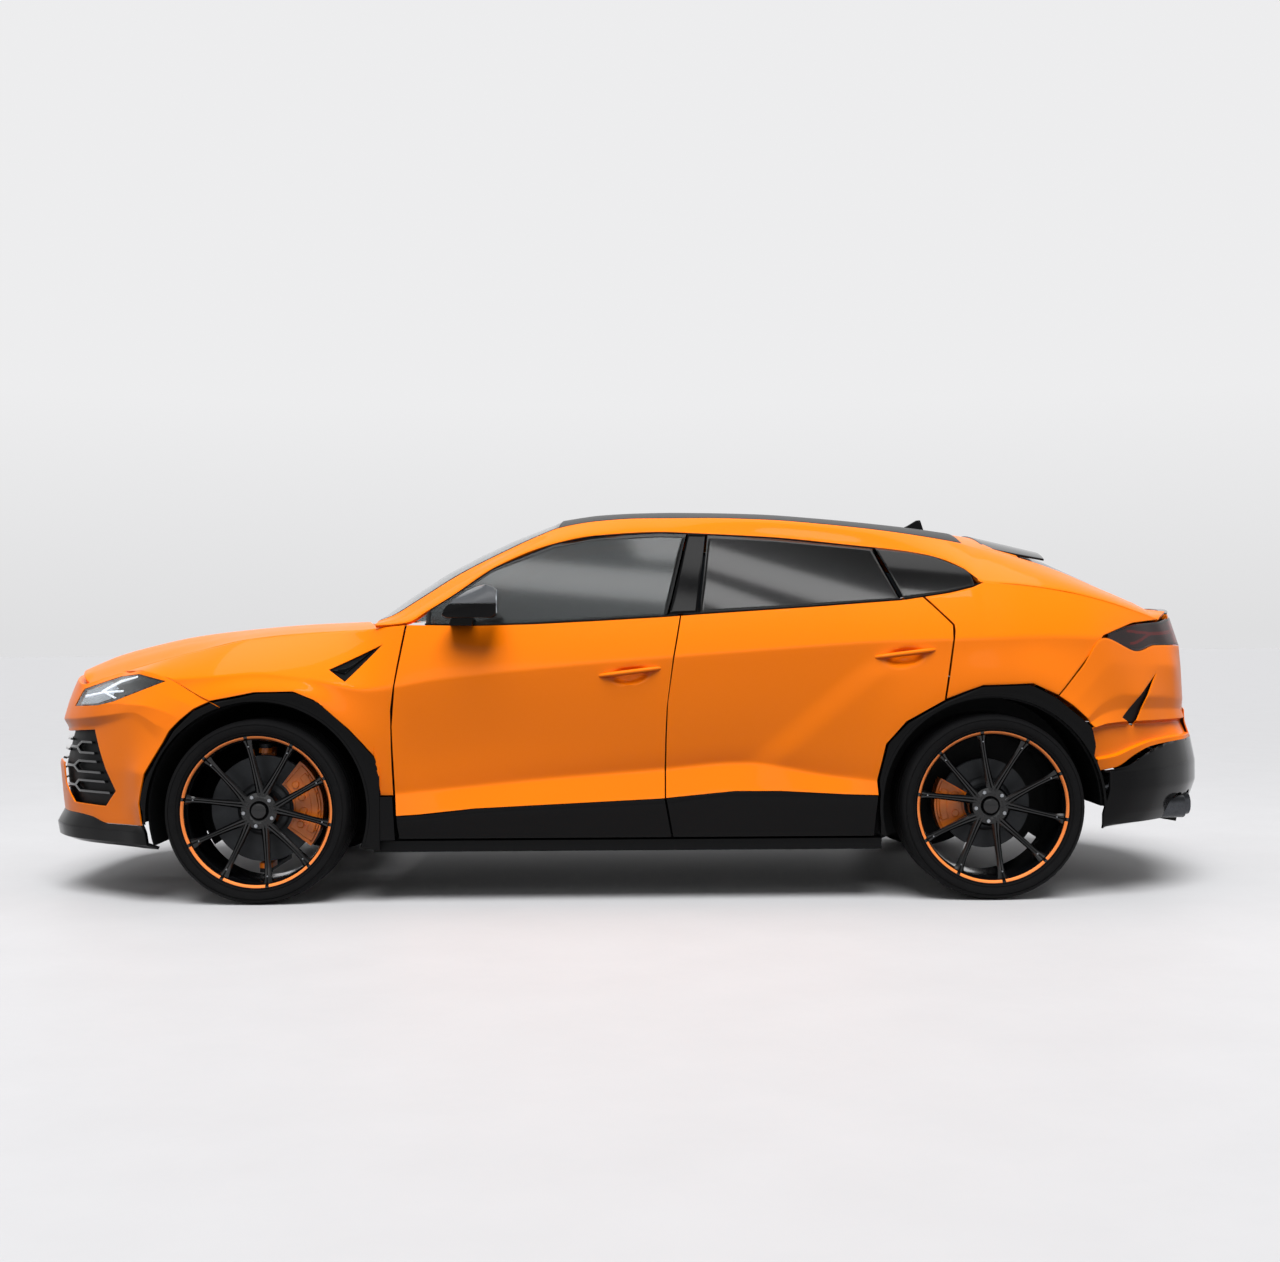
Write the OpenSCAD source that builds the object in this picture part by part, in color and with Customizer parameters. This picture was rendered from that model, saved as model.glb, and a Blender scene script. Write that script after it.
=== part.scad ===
// A five-door coupe SUV: painted steel body, frameless doors, multi-spoke wheels.
// Millimetres. The nose points along -X, +Z is up, and the origin is on the ground
// under the middle of the car. Sizes marked from the axles move with the axles.

/* [Overall] */
// Distance between the axles
wheelbase = 3003; // [2940:1:3060]
// Nose tip to front axle
front_overhang = 1031; // [1010:1:1060]
// Rear axle to the tail
rear_overhang = 1079; // [1060:1:1110]
// Width of the body without the mirrors
body_w = 2016; // [1990:1:2050]
// Height of the roof at its middle
roof_h = 1650; // [1620:1:1680]

/* [Wheels] */
// Outside diameter of the tyres
tyre_d = 756; // [740:1:768]
// Width of the front tyres
tyre_w_front = 285; // [265:1:290]
// Width of the rear tyres
tyre_w_rear = 315; // [285:1:320]
// Diameter over the rim flanges
rim_d = 622; // [600:1:630]
// Distance between the front wheels' middles
track_front = 1695; // [1680:1:1700]
// Distance between the rear wheels' middles
track_rear = 1672; // [1660:1:1680]
// Pairs of spokes in a wheel
spoke_pairs = 5; // [5:1:6]
// Diameter of the front brake discs
disc_d_front = 440; // [400:1:440]
// Diameter of the rear brake discs
disc_d_rear = 370; // [340:1:380]

/* [Panels] */
// Gap round a door, the bonnet or the tailgate
shut_gap = 6; // [5.5:0.5:8]
// Thickness of a door below its window
door_t = 92; // [80:1:100]
// Thickness of the bonnet and tailgate panels
lid_t = 26; // [20:1:30]
// Thickness of the wings and bumpers
skin_t = 18; // [14:1:22]
// Thickness of the roof rails and pillars
pillar_t = 62; // [55:1:70]
// Thickness of the window glass
glass_t = 5; // [4:0.5:6]
// Thickness of the floor
floor_t = 40; // [30:1:50]

/* [Hidden] */

// Derived places along the car
half_l = (front_overhang + wheelbase + rear_overhang) / 2;
axle_f = front_overhang - half_l;
axle_r = axle_f + wheelbase;
axle_z = tyre_d / 2;
half_gap = shut_gap / 2;
seat_gap = 0.5;
arch_room = 66;
liner_t = 7;
door_hinge_w = body_w / 2 - 22;
kingpin_w = track_front / 2 - 47.5;
kingpin_rise = 240;
pin_r = 15;
run_fit = 0.3;
spindle_r = 32;
tailgate_w = mw(549);
spoke_z = 30;
housing_w = track_rear / 2 - 186;

// Body points keep their distance from the nearer axle, and the ends stretch to the overhangs
function mx(x) = x + lookup(x, [
  [-2556.5, 2556.5 - half_l], [-2000, axle_f + 1525.5], [-1000, axle_f + 1525.5],
  [1000, axle_r - 1477.5], [2000, axle_r - 1477.5], [2556.5, half_l - 2556.5]
]);
function mz(z) = z + max(0, z - 1150) * (roof_h - 1650) / 500;
function mw(w) = w * body_w / 2016;
function line(raw) = [for (p = raw) [mx(p[0]), mz(p[1]), mw(p[2])]];
function zat(l, x) = lookup(x, [for (p = l) [p[0], p[1]]]);
function wat(l, x) = lookup(x, [for (p = l) [p[0], p[2]]]);

// Feature lines of the body side as x, height and half width
sill_top = line([
  [-1067, 352, 968], [-860, 364, 968], [-634, 387, 968], [121, 422, 968],
  [426, 451, 968], [613, 450, 968], [879, 435, 970], [1026, 430, 972]
]);
blade = line([
  [-1067, 439, 983], [-793, 462, 983], [-310, 506, 983], [121, 539, 983],
  [441, 564, 983], [830, 509, 984], [1033, 487, 986]
]);
waist = line([
  [-1871, 718, 980], [-1788, 798, 985], [-1706, 832, 990], [-1528, 868, 995], [-1367, 868, 995],
  [-1271, 827, 995], [-1144, 714, 990], [-1033, 640, 981], [-950, 620, 962], [-861, 600, 947],
  [-600, 650, 940], [0, 680, 932], [458, 690, 932], [700, 700, 946], [900, 700, 966],
  [1033, 690, 984], [1125, 729, 998], [1281, 822, 1004], [1435, 874, 1008], [1637, 880, 1008],
  [1746, 825, 1005], [1889, 707, 990]
]);
crease = line([
  [-2160, 938, 735], [-2045, 950, 800], [-1903, 920, 880], [-1788, 925, 915], [-1700, 930, 935],
  [-1528, 940, 945], [-1300, 915, 958], [-1065, 873, 972], [-794, 912, 965], [-308, 961, 960],
  [125, 994, 960], [586, 1027, 964], [836, 1044, 970], [1022, 1055, 978], [1300, 1062, 985],
  [1500, 1068, 984], [1700, 1072, 966], [1900, 1066, 922], [2050, 1060, 850], [2228, 1050, 735]
]);
belt = line([
  [-2340, 893, 622], [-2162, 946, 672], [-1968, 998, 712], [-1857, 1026, 722], [-1624, 1081, 727],
  [-1396, 1105, 722], [-1227, 1114, 738], [-1100, 1120, 790], [-1000, 1130, 845], [-917, 1137, 875],
  [-637, 1131, 895], [-393, 1136, 900], [-121, 1148, 900], [127, 1161, 900], [277, 1171, 900],
  [750, 1199, 900], [1131, 1225, 890], [1308, 1251, 872], [1424, 1278, 852], [1467, 1290, 838],
  [1600, 1285, 835], [1800, 1258, 815], [2000, 1212, 775], [2150, 1165, 730], [2250, 1132, 688]
]);
glass_top = line([
  [-1060, 1136, 830], [-990, 1139, 850], [-918, 1148, 868], [-842, 1194, 845], [-743, 1256, 818],
  [-566, 1379, 755], [-319, 1480, 700], [-151, 1514, 680], [132, 1529, 665], [286, 1522, 664],
  [615, 1503, 660], [941, 1468, 665], [1185, 1438, 675], [1296, 1414, 692], [1412, 1358, 760],
  [1469, 1300, 830], [1600, 1291, 834], [1800, 1264, 814], [2000, 1218, 774], [2150, 1171, 729],
  [2250, 1138, 687]
]);
rail_top = line([
  [-1060, 1154, 765], [-990, 1180, 772], [-884, 1246, 745], [-720, 1352, 695], [-554, 1440, 650],
  [-384, 1520, 620], [-299, 1553, 610], [-127, 1582, 603], [48, 1592, 600], [312, 1592, 598],
  [576, 1584, 598], [840, 1562, 598], [1100, 1532, 596], [1290, 1503, 590], [1440, 1476, 572],
  [1500, 1462, 557], [1724, 1402, 557], [1864, 1352, 557], [2028, 1280, 557], [2160, 1222, 557],
  [2250, 1176, 557]
]);
roof_mid = [
  [-299, 1617], [-127, 1640], [48, 1648], [180, 1650], [312, 1648], [576, 1640], [840, 1620],
  [1100, 1594], [1290, 1572], [1440, 1551]
];
bonnet_mid = [
  [-2462, 936], [-2286, 1010], [-2130, 1052], [-1905, 1098], [-1680, 1124], [-1399, 1146],
  [-1195, 1154], [-1050, 1160]
];
screen_mid = [[-1153, 1156], [-1000, 1268], [-840, 1374], [-690, 1453], [-544, 1521], [-303, 1614]];

// Half width of the body side at a place along the car and a height
function side_w(x, z) = lookup(z, [
  [200, mw(930)], [262, mw(948)],
  [zat(sill_top, x), wat(sill_top, x)], [zat(blade, x), wat(blade, x)],
  [zat(waist, x), wat(waist, x)], [zat(crease, x), wat(crease, x)], [zat(belt, x), wat(belt, x)]
]);
function lerp(a, b, f) = a + (b - a) * f;
function along(p, f) = let(
  k = f * (len(p) - 1), i = min(floor(k), len(p) - 2)) lerp(p[i], p[i + 1], k - i);
// A four-sided patch in x and z between its bottom, top, left and right edges
function patch(b, t, l, r, n, m) = [
  for (j = [0:m]) let(v = j / m) [
    for (i = [0:n]) let(u = i / n)
      lerp(along(b, u), along(t, u), v) + lerp(along(l, v), along(r, v), u)
      - lerp(lerp(b[0], b[len(b) - 1], u), lerp(t[0], t[len(t) - 1], u), v)
  ]
];
function on_side(g, inward) = [for (r = g) [for (p = r) [p[0], inward - side_w(p[0], p[1]), p[1]]]];
function mpts(p) = [for (q = p) [mx(q[0]), mz(q[1])]];
// A row of n steps along a feature line, moved in and up
function row(l, x0, x1, n, inward = 0, up = 0) = [
  for (i = [0:n]) let(x = lerp(x0, x1, i / n)) [x, inward - wat(l, x), zat(l, x) + up]
];
function blend_row(a, b, f) = [for (i = [0:len(a) - 1]) lerp(a[i], b[i], f)];
function shift(g, v) = [for (r = g) [for (p = r) p + v]];
function flip_y(p) = [p[0], -p[1], p[2]];
function reversed(r) = [for (i = [len(r) - 1:-1:0]) r[i]];
// A row on the far side joined to its mirror image on the near side
function both(r) = concat([for (p = r) flip_y(p)], [for (i = [len(r) - 2:-1:0]) r[i]]);

// A closed sheet between an outer grid and an inner grid of the same shape
module shell(outer, inner) {
  c = len(outer[0]);
  m = len(outer);
  n = c * m;
  polyhedron(
    points = concat([for (r = outer) each r], [for (r = inner) each r]),
    faces = concat(
      [for (j = [0:m - 2], i = [0:c - 2]) let(a = j * c + i) each [
        [a, a + c, a + c + 1], [a, a + c + 1, a + 1],
        [a + n, a + c + 1 + n, a + c + n], [a + n, a + 1 + n, a + c + 1 + n]
      ]],
      [for (i = [0:c - 2]) let(a = i, b = (m - 1) * c + i) each [
        [a, a + 1, a + 1 + n], [a, a + 1 + n, a + n],
        [b + 1, b, b + n], [b + 1, b + n, b + 1 + n]
      ]],
      [for (j = [0:m - 2]) let(a = j * c, b = j * c + c - 1) each [
        [a + c, a, a + n], [a + c, a + n, a + c + n],
        [b, b + c, b + c + n], [b, b + c + n, b + n]
      ]]
    )
  );
}
// A box from its low corner to its high corner
module block(a, b) {
  translate(a) cube(b - a);
}
// A profile in x and z, drawn from one side of the car to the other
module across(w0, w1) {
  translate([0, w1, 0]) rotate([90, 0, 0]) linear_extrude(w1 - w0) children();
}
// A profile in y and z, drawn along the car from x0 to x1
module lengthwise(x0, x1) {
  translate([x0, 0, 0]) rotate([90, 0, 90]) linear_extrude(x1 - x0) children();
}
module mirrored() {
  children();
  mirror([0, 1, 0]) children();
}
module right_side() {
  mirror([0, 1, 0]) children();
}
module at_wheel(x, w) {
  translate([x, -w, axle_z]) rotate([90, 0, 0]) children();
}

tow_y = mw(200);
tow_z = 546;
tow_r = 8;

// Body structure

module floor_pan() {
  color("#3a3b3d") {
    block([mx(-1040), -mw(690), 205], [mx(1010), mw(690), 205 + floor_t]);
    across(-640, 640) polygon([
      [mx(960), 205], [mx(1040), 205], [mx(1120), 470], [mx(1290), 560], [mx(2180), 560],
      [mx(2180), 590], [mx(1270), 590], [mx(1090), 500]
    ]);
    across(-mw(690), mw(690)) polygon([
      [mx(-1060), 240], [mx(-1000), 205], [mx(-980), 240], [mx(-1038), 300], [mx(-1038), 830],
      [mx(-1060), 830]
    ]);
    block([mx(-1060), -160, 240], [mx(600), 160, 330]);
    // front legs and bumper beam with its tow socket
    mirrored() block([mx(-2352), -492, 420], [mx(-1050), -445.5, 520]);
    difference() {
      union() {
        block([mx(-2380), -500, 468], [mx(-2350), 500, 572]);
        translate([mx(-2420), tow_y, tow_z]) rotate([0, 90, 0]) cylinder(h = 50, r = 18, $fn = 40);
      }
      translate([mx(-2430), tow_y, tow_z]) rotate([0, 90, 0]) cylinder(h = 90, r = tow_r, $fn = 40);
    }
  }
}

rail_xs = [for (x = [-1060, -990, -918, -842, -743, -650, -566, -470, -384, -299, -215, -127, 0, 132,
  286, 450, 615, 780, 941, 1100, 1185, 1296, 1360, 1412, 1440, 1469, 1500, 1600, 1724, 1864, 2000,
  2150, 2250]) mx(x)];
// The inner lower edge of the rail drops below the glass only behind the door's corner
rail_drop = [[mx(-842), -6], [mx(-500), -29], [mx(1100), -29], [mx(1400), 4], [mx(1500), -20],
  [mx(2000), -20], [mx(2250), 0]];
function strip_row(l, inward, up) = [for (x = rail_xs) [x, inward - wat(l, x), zat(l, x) + up]];
function drop_row() = [for (x = rail_xs) [x, 27 - wat(glass_top, x), zat(glass_top, x) + lookup(x, rail_drop)]];
function top_row(down) = [for (x = rail_xs)
  [x + (x > mx(2240) ? 70 : 0), -wat(rail_top, x), zat(rail_top, x) - min(down, x > mx(2240) ? 20 : 45)]];

// A ring of sheet round a wheel, from half width w0 to w1 and between two angles
module wheel_ring(x, r0, r1, w0, w1, a0, a1) {
  translate([x, -w0, axle_z]) rotate([90, 0, 0]) rotate([0, 0, a0])
    rotate_extrude(angle = a1 - a0, $fn = 72) translate([r0, 0]) square([r1 - r0, w1 - w0]);
}

arch_r = axle_z + arch_room;
module side_frame() {
  shell([strip_row(glass_top, 0, 0), top_row(0)], [drop_row(), top_row(45)]);
  quarter_out = patch(
    mpts([[1287, 822], [1360, 850], [1435, 876], [1500, 877], [1570, 879], [1637, 882], [1740, 834]]),
    mpts([[1224, 1239], [1330, 1255], [1424, 1277], [1480, 1300], [1700, 1280], [1950, 1233],
      [2250, 1140]]),
    mpts([[1287, 822], [1310, 960], [1332, 1100], [1331, 1124], [1224, 1239]]),
    mpts([[1740, 834], [1850, 955], [1957, 1075], [2110, 1126], [2250, 1140]]), 12, 8);
  shell(on_side(quarter_out, 0), on_side(quarter_out, skin_t));
  // hinge pillar, sill and centre pillar
  block([mx(-1055), -mw(820), 240], [mx(-986), -mw(745), 1060]);
  block([mx(-1055), -mw(795), 1050], [mx(-986), -mw(745), 1114]);
  lengthwise(mx(-1055), mx(1030)) polygon([
    [-mw(690.5), 205], [-mw(925), 205], [-mw(925), 250], [-mw(866), 256], [-mw(862), 395], [-mw(690.5), 395]
  ]);
  block([mx(160), -mw(798), 390], [mx(272), -mw(735), mz(1176)]);
  block([mx(178), -mw(845), mz(1174)], [mx(270), -mw(735), mz(1204)]);
  shell([
    [[mx(166), -mw(881), mz(1174)], [mx(281), -mw(881), mz(1178)]],
    [[mx(252), -mw(664), mz(1521)], [mx(326), -mw(663), mz(1519)]]
  ], [
    [[mx(166), -mw(821), mz(1174)], [mx(281), -mw(821), mz(1178)]],
    [[mx(252), -mw(612), mz(1521)], [mx(326), -mw(611), mz(1519)]]
  ]);
  // rear wheel housing
  wheel_ring(axle_r, arch_r, arch_r + liner_t, housing_w, mw(954.5), 0, 195);
  wheel_ring(axle_r, 215, arch_r + 3, housing_w - 2, housing_w + 6, 4, 176);
  wheel_ring(axle_r, arch_r + 3, 520, mw(947), mw(953.5), 63, 108);
  wheel_ring(axle_r, 511, 518, mw(949), mw(995), 82, 106);
}

module side_frame_left() {
  color("#f58a07") side_frame();
}
module side_frame_right() {
  color("#f58a07") right_side() side_frame();
}

roof_xs = [for (x = rail_xs) if (x > mx(-300) && x < mx(1441)) x];
function roof_z(x) = lookup(x, [for (p = roof_mid) [mx(p[0]), mz(p[1])]]);
function roof_row(s, x0, up) = [for (x = [for (q = roof_xs) if (q >= x0) q])
  [x, s * (wat(rail_top, x) - seat_gap), lerp(roof_z(x), zat(rail_top, x), s * s) + up]];
module roof_panel() {
  steps = [-1, -0.8, -0.55, -0.28, 0, 0.28, 0.55, 0.8, 1];
  color("#111214") {
    shell([for (s = steps) roof_row(s, mx(-300), 0)], [for (s = steps) roof_row(s, mx(-300), -24)]);
    across(-8, 8) polygon([for (p = [[1256, 1566], [1300, 1590], [1340, 1616], [1360, 1618], [1378, 1560]])
      [mx(p[0]), mz(p[1])]]);
  }
}

// Windscreen from its middle line to the pillars
function screen_row(s, v, inward) = let(
  m = along([for (p = screen_mid) [mx(p[0]), mz(p[1])]], v),
  x = lerp(mx(-1015), mx(-303), v),
  w = wat(rail_top, x) - 1.6, z = zat(rail_top, x))
  [lerp(m[0], x, s * s) + inward * 0.6, s * w, lerp(m[1], z, s * s) - inward * 0.8];
module glass_strip(x0, x1, x2, x3, n, lift, top_room, out) {
  rows = [for (f = [0, 0.5, 1]) [for (i = [0:n]) let(
    xb = lerp(x0, x1, i / n), xt = lerp(x2, x3, i / n), x = lerp(xb, xt, f),
    wb = wat(belt, xb) - 18, wt = wat(glass_top, xt) + out)
    [x, -lerp(wb, wt, f) - (f == 0.5 ? 7 : 0),
      lerp(zat(belt, xb) + lift, zat(glass_top, xt) - top_room, f)]]];
  shell(rows, shift(rows, [0, glass_t, 0]));
}
module fixed_glass() {
  screen_s = [-1, -0.75, -0.5, -0.25, 0, 0.25, 0.5, 0.75, 1];
  screen_v = [for (x = [-1015, -990, -918, -842, -743, -650, -566, -470, -384, -303]) (x + 1015) / 712];
  color("#1c2226") {
    shell([for (s = screen_s) [for (v = screen_v) screen_row(s, v, 0)]],
      [for (s = screen_s) [for (v = screen_v) screen_row(s, v, glass_t)]]);
    mirrored() glass_strip(mx(1139), mx(1440), mx(1048), mx(1436), 6, 6.5, 0.8, glass_t + 0.4);
  }
}

module cowl() {
  color("#17181a") mirrored() {
    shell([
      [[mx(-1188), 0, 1138], [mx(-1030), 0, 1140]], [[mx(-1048), mw(690), 1118], [mx(-1000), mw(690), 1128]]
    ], [
      [[mx(-1188), 0, 1100], [mx(-1062), 0, 1100]], [[mx(-1062), mw(690), 1090], [mx(-1000), mw(690), 1090]]
    ]);
  }
}

// Front of the body

wing_edge = mpts([[-1711, 834], [-1797, 872], [-1900, 922], [-2042, 955], [-2158, 950]]);
// Outline of the air outlet behind each front wheel
function vent(grow) = mpts([for (p = [[-1237, 955], [-1020, 1058], [-1164, 906]]) lerp([-1140, 973], p, grow)]);
vent_area = patch(mpts([[-1250, 890], [-1010, 890]]), mpts([[-1250, 1070], [-1010, 1070]]),
  mpts([[-1250, 890], [-1250, 1070]]), mpts([[-1010, 890], [-1010, 1070]]), 6, 4);
module front_wings() {
  wing_out = patch(
    mpts([[-1711, 834], [-1620, 850], [-1528, 868], [-1448, 869], [-1367, 870], [-1271, 829],
      [-1208, 772], [-1144, 716], [-1088, 655], [-1033, 592], [-1021, 540], [-1020, 442], [-970, 442]]),
    [for (i = [0:11]) let(x = lerp(mx(-2158), mx(-930), i / 11)) [x, zat(belt, x) + (i == 0 ? 4 : 0)]],
    wing_edge,
    mpts([[-970, 442], [-976, 615], [-978, 789], [-956, 962], [-930, 1136]]), 24, 8);
  color("#f58a07") mirrored() {
    difference() {
      shell(on_side(wing_out, 0), on_side(wing_out, skin_t));
      across(-mw(1010), -mw(850)) polygon(vent(1));
    }
    wheel_ring(axle_f, arch_r, arch_r + liner_t, mw(495), mw(939.5), -20, 198);
    wheel_ring(axle_f, 300, arch_r + 3, mw(493), mw(501), 25, 155);
    wheel_ring(axle_f, arch_r + 3, 526, mw(932), mw(938.5), 62, 108);
    wheel_ring(axle_f, 517, 524, mw(934), mw(962), 63, 107);
    shell([
      [for (x = [-1227, -1170, -1120, -1062]) [mx(x), 6 - wat(belt, mx(x)), zat(belt, mx(x)) - 1]],
      [[mx(-1226), -mw(718), 1117], [mx(-1170), -mw(706), 1128], [mx(-1120), -mw(698), 1137],
        [mx(-1062), -mw(694), 1147]]
    ], [
      [for (x = [-1227, -1170, -1120, -1062]) [mx(x), 6 - wat(belt, mx(x)), zat(belt, mx(x)) - 15]],
      [[mx(-1226), -mw(718), 1103], [mx(-1170), -mw(706), 1114], [mx(-1120), -mw(698), 1123],
        [mx(-1062), -mw(694), 1133]]
    ]);
  }
}

// Rows of the front skin, from the bottom lip to the bonnet, from the middle to the wheel arch
nose_rows = [for (r = [
  [[-2530, 0, 352], [-2524, 220, 352], [-2500, 420, 350], [-2440, 560, 348], [-2365, 655, 348],
    [-2275, 735, 340], [-2190, 800, 318], [-2105, 865, 320], [-2030, 925, 322], [-2000, 957, 324]],
  [[-2534, 0, 390], [-2528, 220, 390], [-2505, 420, 388], [-2443, 560, 386], [-2368, 655, 386],
    [-2277, 735, 386], [-2191, 800, 392], [-2105, 865, 400], [-2040, 925, 408], [-2012, 957, 413]],
  [[-2540, 0, 550], [-2534, 220, 550], [-2518, 420, 548], [-2455, 560, 545], [-2385, 650, 545],
    [-2290, 730, 545], [-2190, 805, 545], [-2095, 875, 545], [-2022, 943, 540], [-1986, 968, 535]],
  [[-2505, 0, 697], [-2500, 220, 697], [-2480, 420, 699], [-2433, 540, 704], [-2366, 640, 710],
    [-2265, 730, 718], [-2175, 804, 736], [-2064, 882, 758], [-1950, 950, 690], [-1908, 977, 660]],
  [[-2530, 0, 737], [-2524, 220, 737], [-2502, 420, 738], [-2450, 540, 742], [-2378, 640, 748],
    [-2280, 738, 758], [-2176, 814, 771], [-2054, 889, 784], [-1935, 955, 735], [-1878, 979, 712]],
  [[-2515, 0, 815], [-2508, 220, 815], [-2480, 420, 815], [-2430, 540, 815], [-2362, 640, 815],
    [-2265, 742, 814], [-2160, 815, 818], [-2020, 903, 814], [-1890, 960, 784], [-1832, 983, 758]],
  [[-2490, 0, 880], [-2484, 220, 880], [-2455, 420, 878], [-2410, 540, 874], [-2350, 630, 866],
    [-2215, 728, 890], [-2100, 808, 896], [-1960, 893, 868], [-1845, 950, 835], [-1775, 985, 803]],
  [[-2470, 0, 932], [-2464, 220, 930], [-2436, 420, 918], [-2398, 540, 905], [-2348, 616, 893],
    [-2163, 668, 946], [-2046, 798, 951], [-1904, 880, 918], [-1801, 940, 868], [-1714, 986, 831]]
]) [for (p = r) [mx(p[0]), mw(p[1]), p[2]]]];
// A point of an end panel moved into the car square to the panel; d is 1 at the nose and -1 at the tail
function turn_in(p, t, d, least = 0) = let(
  a = lookup(abs(p[1]), [[0, 0], [420, 8], [600, 24], [800, 44], [900, 64], [985, 86]]))
  [p[0] + d * t * cos(a), sign(p[1]) * max(least, abs(p[1]) - t * sin(a)), p[2]];
function turned(g, t, d, least = 0) = [for (r = g) [for (p = r) turn_in(p, t, d, least)]];
module nose_skin(depth, t) {
  outer = [for (r = nose_rows) reversed(both(reversed(r)))];
  shell(turned(outer, depth, 1), turned(outer, depth + t, 1));
}
module lamp_outline(grow) {
  c = [-2170, 880];
  polygon([for (p = [[-2390, 800], [-2340, 875], [-2162, 929], [-2052, 941], [-1918, 912],
    [-2157, 827], [-2240, 809]]) mpts([lerp(c, p, grow)])[0]]);
}
module intake_outline() {
  half = [[0, 400], [440, 400], [452, 552], [470, 566], [556, 556], [562, 470], [640, 392], [795, 388],
    [838, 455], [734, 706], [640, 698], [540, 691], [0, 686]];
  polygon([for (p = concat(half, [for (i = [len(half) - 2:-1:1]) [-half[i][0], half[i][1]]])) [mw(p[0]), p[1]]]);
}
// Forked fins in the outer intakes and straight slats between them
module intake_fins() {
  for (z = [628, 548, 466], s = [-1, 1]) let(r = 802 - (z - 455) * 0.42) polygon([for (p = [[574, z - 5],
    [638, z - 5], [664, z - 27], [r + 6, z - 27], [r + 3, z - 18], [669, z - 18], [648, z], [669, z + 18],
    [r - 12, z + 18], [r - 16, z + 27], [664, z + 27], [638, z + 5], [574, z + 5]]) [s * mw(p[0]), p[1]]]);
  for (z = [432:44:652]) let(w = mw(z < 570 ? 436 : 550)) translate([-w, z]) square([2 * w, 9]);
}
module front_bumper() {
  color("#f58a07") difference() {
    nose_skin(0, skin_t);
    mirrored() translate([0, -400, 0]) rotate([90, 0, 0]) linear_extrude(700) lamp_outline(1);
    lengthwise(mx(-2600), mx(-1900)) intake_outline();
  }
}
module headlamps() {
  color("#9aa3aa") mirrored() intersection() {
    nose_skin(3, 20);
    translate([0, -400, 0]) rotate([90, 0, 0]) linear_extrude(700) lamp_outline(0.992);
  }
}
module front_grille() {
  color("#131416") {
    // black backing and fins, parted round the hatch for the tow eye
    difference() {
      union() {
        difference() {
          nose_skin(26, 16);
          translate([mx(-2600), -1100, 714]) cube([900, 2200, 400]);
        }
        intersection() {
          nose_skin(8, 20);
          lengthwise(mx(-2600), mx(-2050)) intake_fins();
        }
      }
      block([mx(-2600), tow_y - 26, tow_z - 15.5], [mx(-2300), tow_y + 26, tow_z + 16.5]);
      for (y = [tow_y - 26, tow_y + 26]) block([mx(-2600), y - 0.3, 200], [mx(-2300), y + 0.3, 800]);
    }
    // lip along the bottom
    edge = reversed(nose_rows[0]);
    lip_x = [-2012, -2050, -2118, -2206, -2298, -2396, -2470, -2532, -2553, -2556.5];
    rows = [for (p = [[208, 44], [232, 0], [292, 0]]) [for (i = [0:9])
      [mx(lip_x[i]) + p[1], edge[i][1], p[0]]]];
    top = [for (i = [0:9]) edge[i] - [0, 0, seat_gap]];
    outer = [for (r = concat(rows, [top])) reversed(both(r))];
    shell(outer, turned(outer, 40, 1));
  }
}

// Rear of the body

tail_rows = [for (r = [
  [[1912, 957, 521], [1999, 925, 534], [2095, 868, 582], [2175, 820, 612], [2270, 755, 624],
    [2351, 700, 632], [2400, 612, 634], [2424, 556, 634]],
  [[1909, 978, 630], [1985, 935, 640], [2090, 868, 648], [2190, 800, 662], [2280, 740, 668],
    [2345, 690, 670], [2395, 612, 672], [2420, 556, 672]],
  [[1894, 988, 704], [1965, 945, 718], [2060, 885, 722], [2165, 820, 722], [2262, 742, 722],
    [2328, 685, 722], [2376, 615, 722], [2402, 556, 722]],
  [[1862, 993, 738], [1940, 945, 800], [2035, 893, 830], [2150, 830, 822], [2255, 745, 815],
    [2322, 684, 806], [2368, 615, 800], [2394, 556, 796]],
  [[1802, 1000, 792], [1895, 955, 882], [2000, 898, 960], [2140, 808, 945], [2245, 735, 948],
    [2316, 680, 940], [2360, 612, 935], [2388, 556, 930]],
  [[1745, 1003, 831], [1852, 958, 947], [1959, 900, 1064], [2122, 802, 1006], [2222, 722, 1030],
    [2300, 660, 1030], [2352, 600, 1028], [2380, 556, 1025]]
]) [for (p = r) [mx(p[0]), -mw(p[1]), p[2]]]];
module rear_bumper() {
  color("#f58a07") {
    mirrored() shell(tail_rows, turned(tail_rows, skin_t, -1, mw(556)));
    mid = [for (r = [
      [[2422, 564, 634], [2472, 400, 634], [2500, 200, 634], [2508, 0, 634]],
      [[2400, 564, 700], [2452, 400, 700], [2482, 200, 700], [2492, 0, 700]],
      [[2398, 564, 752], [2448, 400, 752], [2478, 200, 752], [2486, 0, 752]]
    ]) both([for (p = r) [mx(p[0]), mw(p[1]), p[2]]])];
    shell(mid, turned(mid, skin_t, -1));
  }
}
module rear_diffuser() {
  plan = [[0, half_l], [200, half_l - 11], [400, mx(2500)], [560, mx(2428)], [650, mx(2372)],
    [750, mx(2288)], [850, mx(2180)], [920, mx(2060)], [952, mx(1960)]];
  rows = [for (p = [[285, -190], [300, -70], [345, -36], [440, 0], [519, 0]])
    [for (q = reversed(plan)) [max(mx(1932 + (952 - q[0]) * 0.3), q[1] + p[1]), -mw(q[0]), p[0]]]];
  top = [for (q = reversed(plan)) [q[1] - 22, -mw(q[0]),
    lookup(q[0], [[700, 631], [820, 610], [868, 580], [925, 532], [957, 519.6]])]];
  outer = [for (r = concat(rows, [top])) concat(r, [for (i = [len(r) - 2:-1:0]) flip_y(r[i])])];
  color("#121315") {
    difference() {
      shell(outer, turned(outer, 36, -1));
      mirrored() for (w = tip_ws) translate([mx(2100), -w, 345]) rotate([0, 90, 0])
        cylinder(h = 400, r = tip_r + seat_gap, $fn = 40);
    }
  }
}
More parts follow.
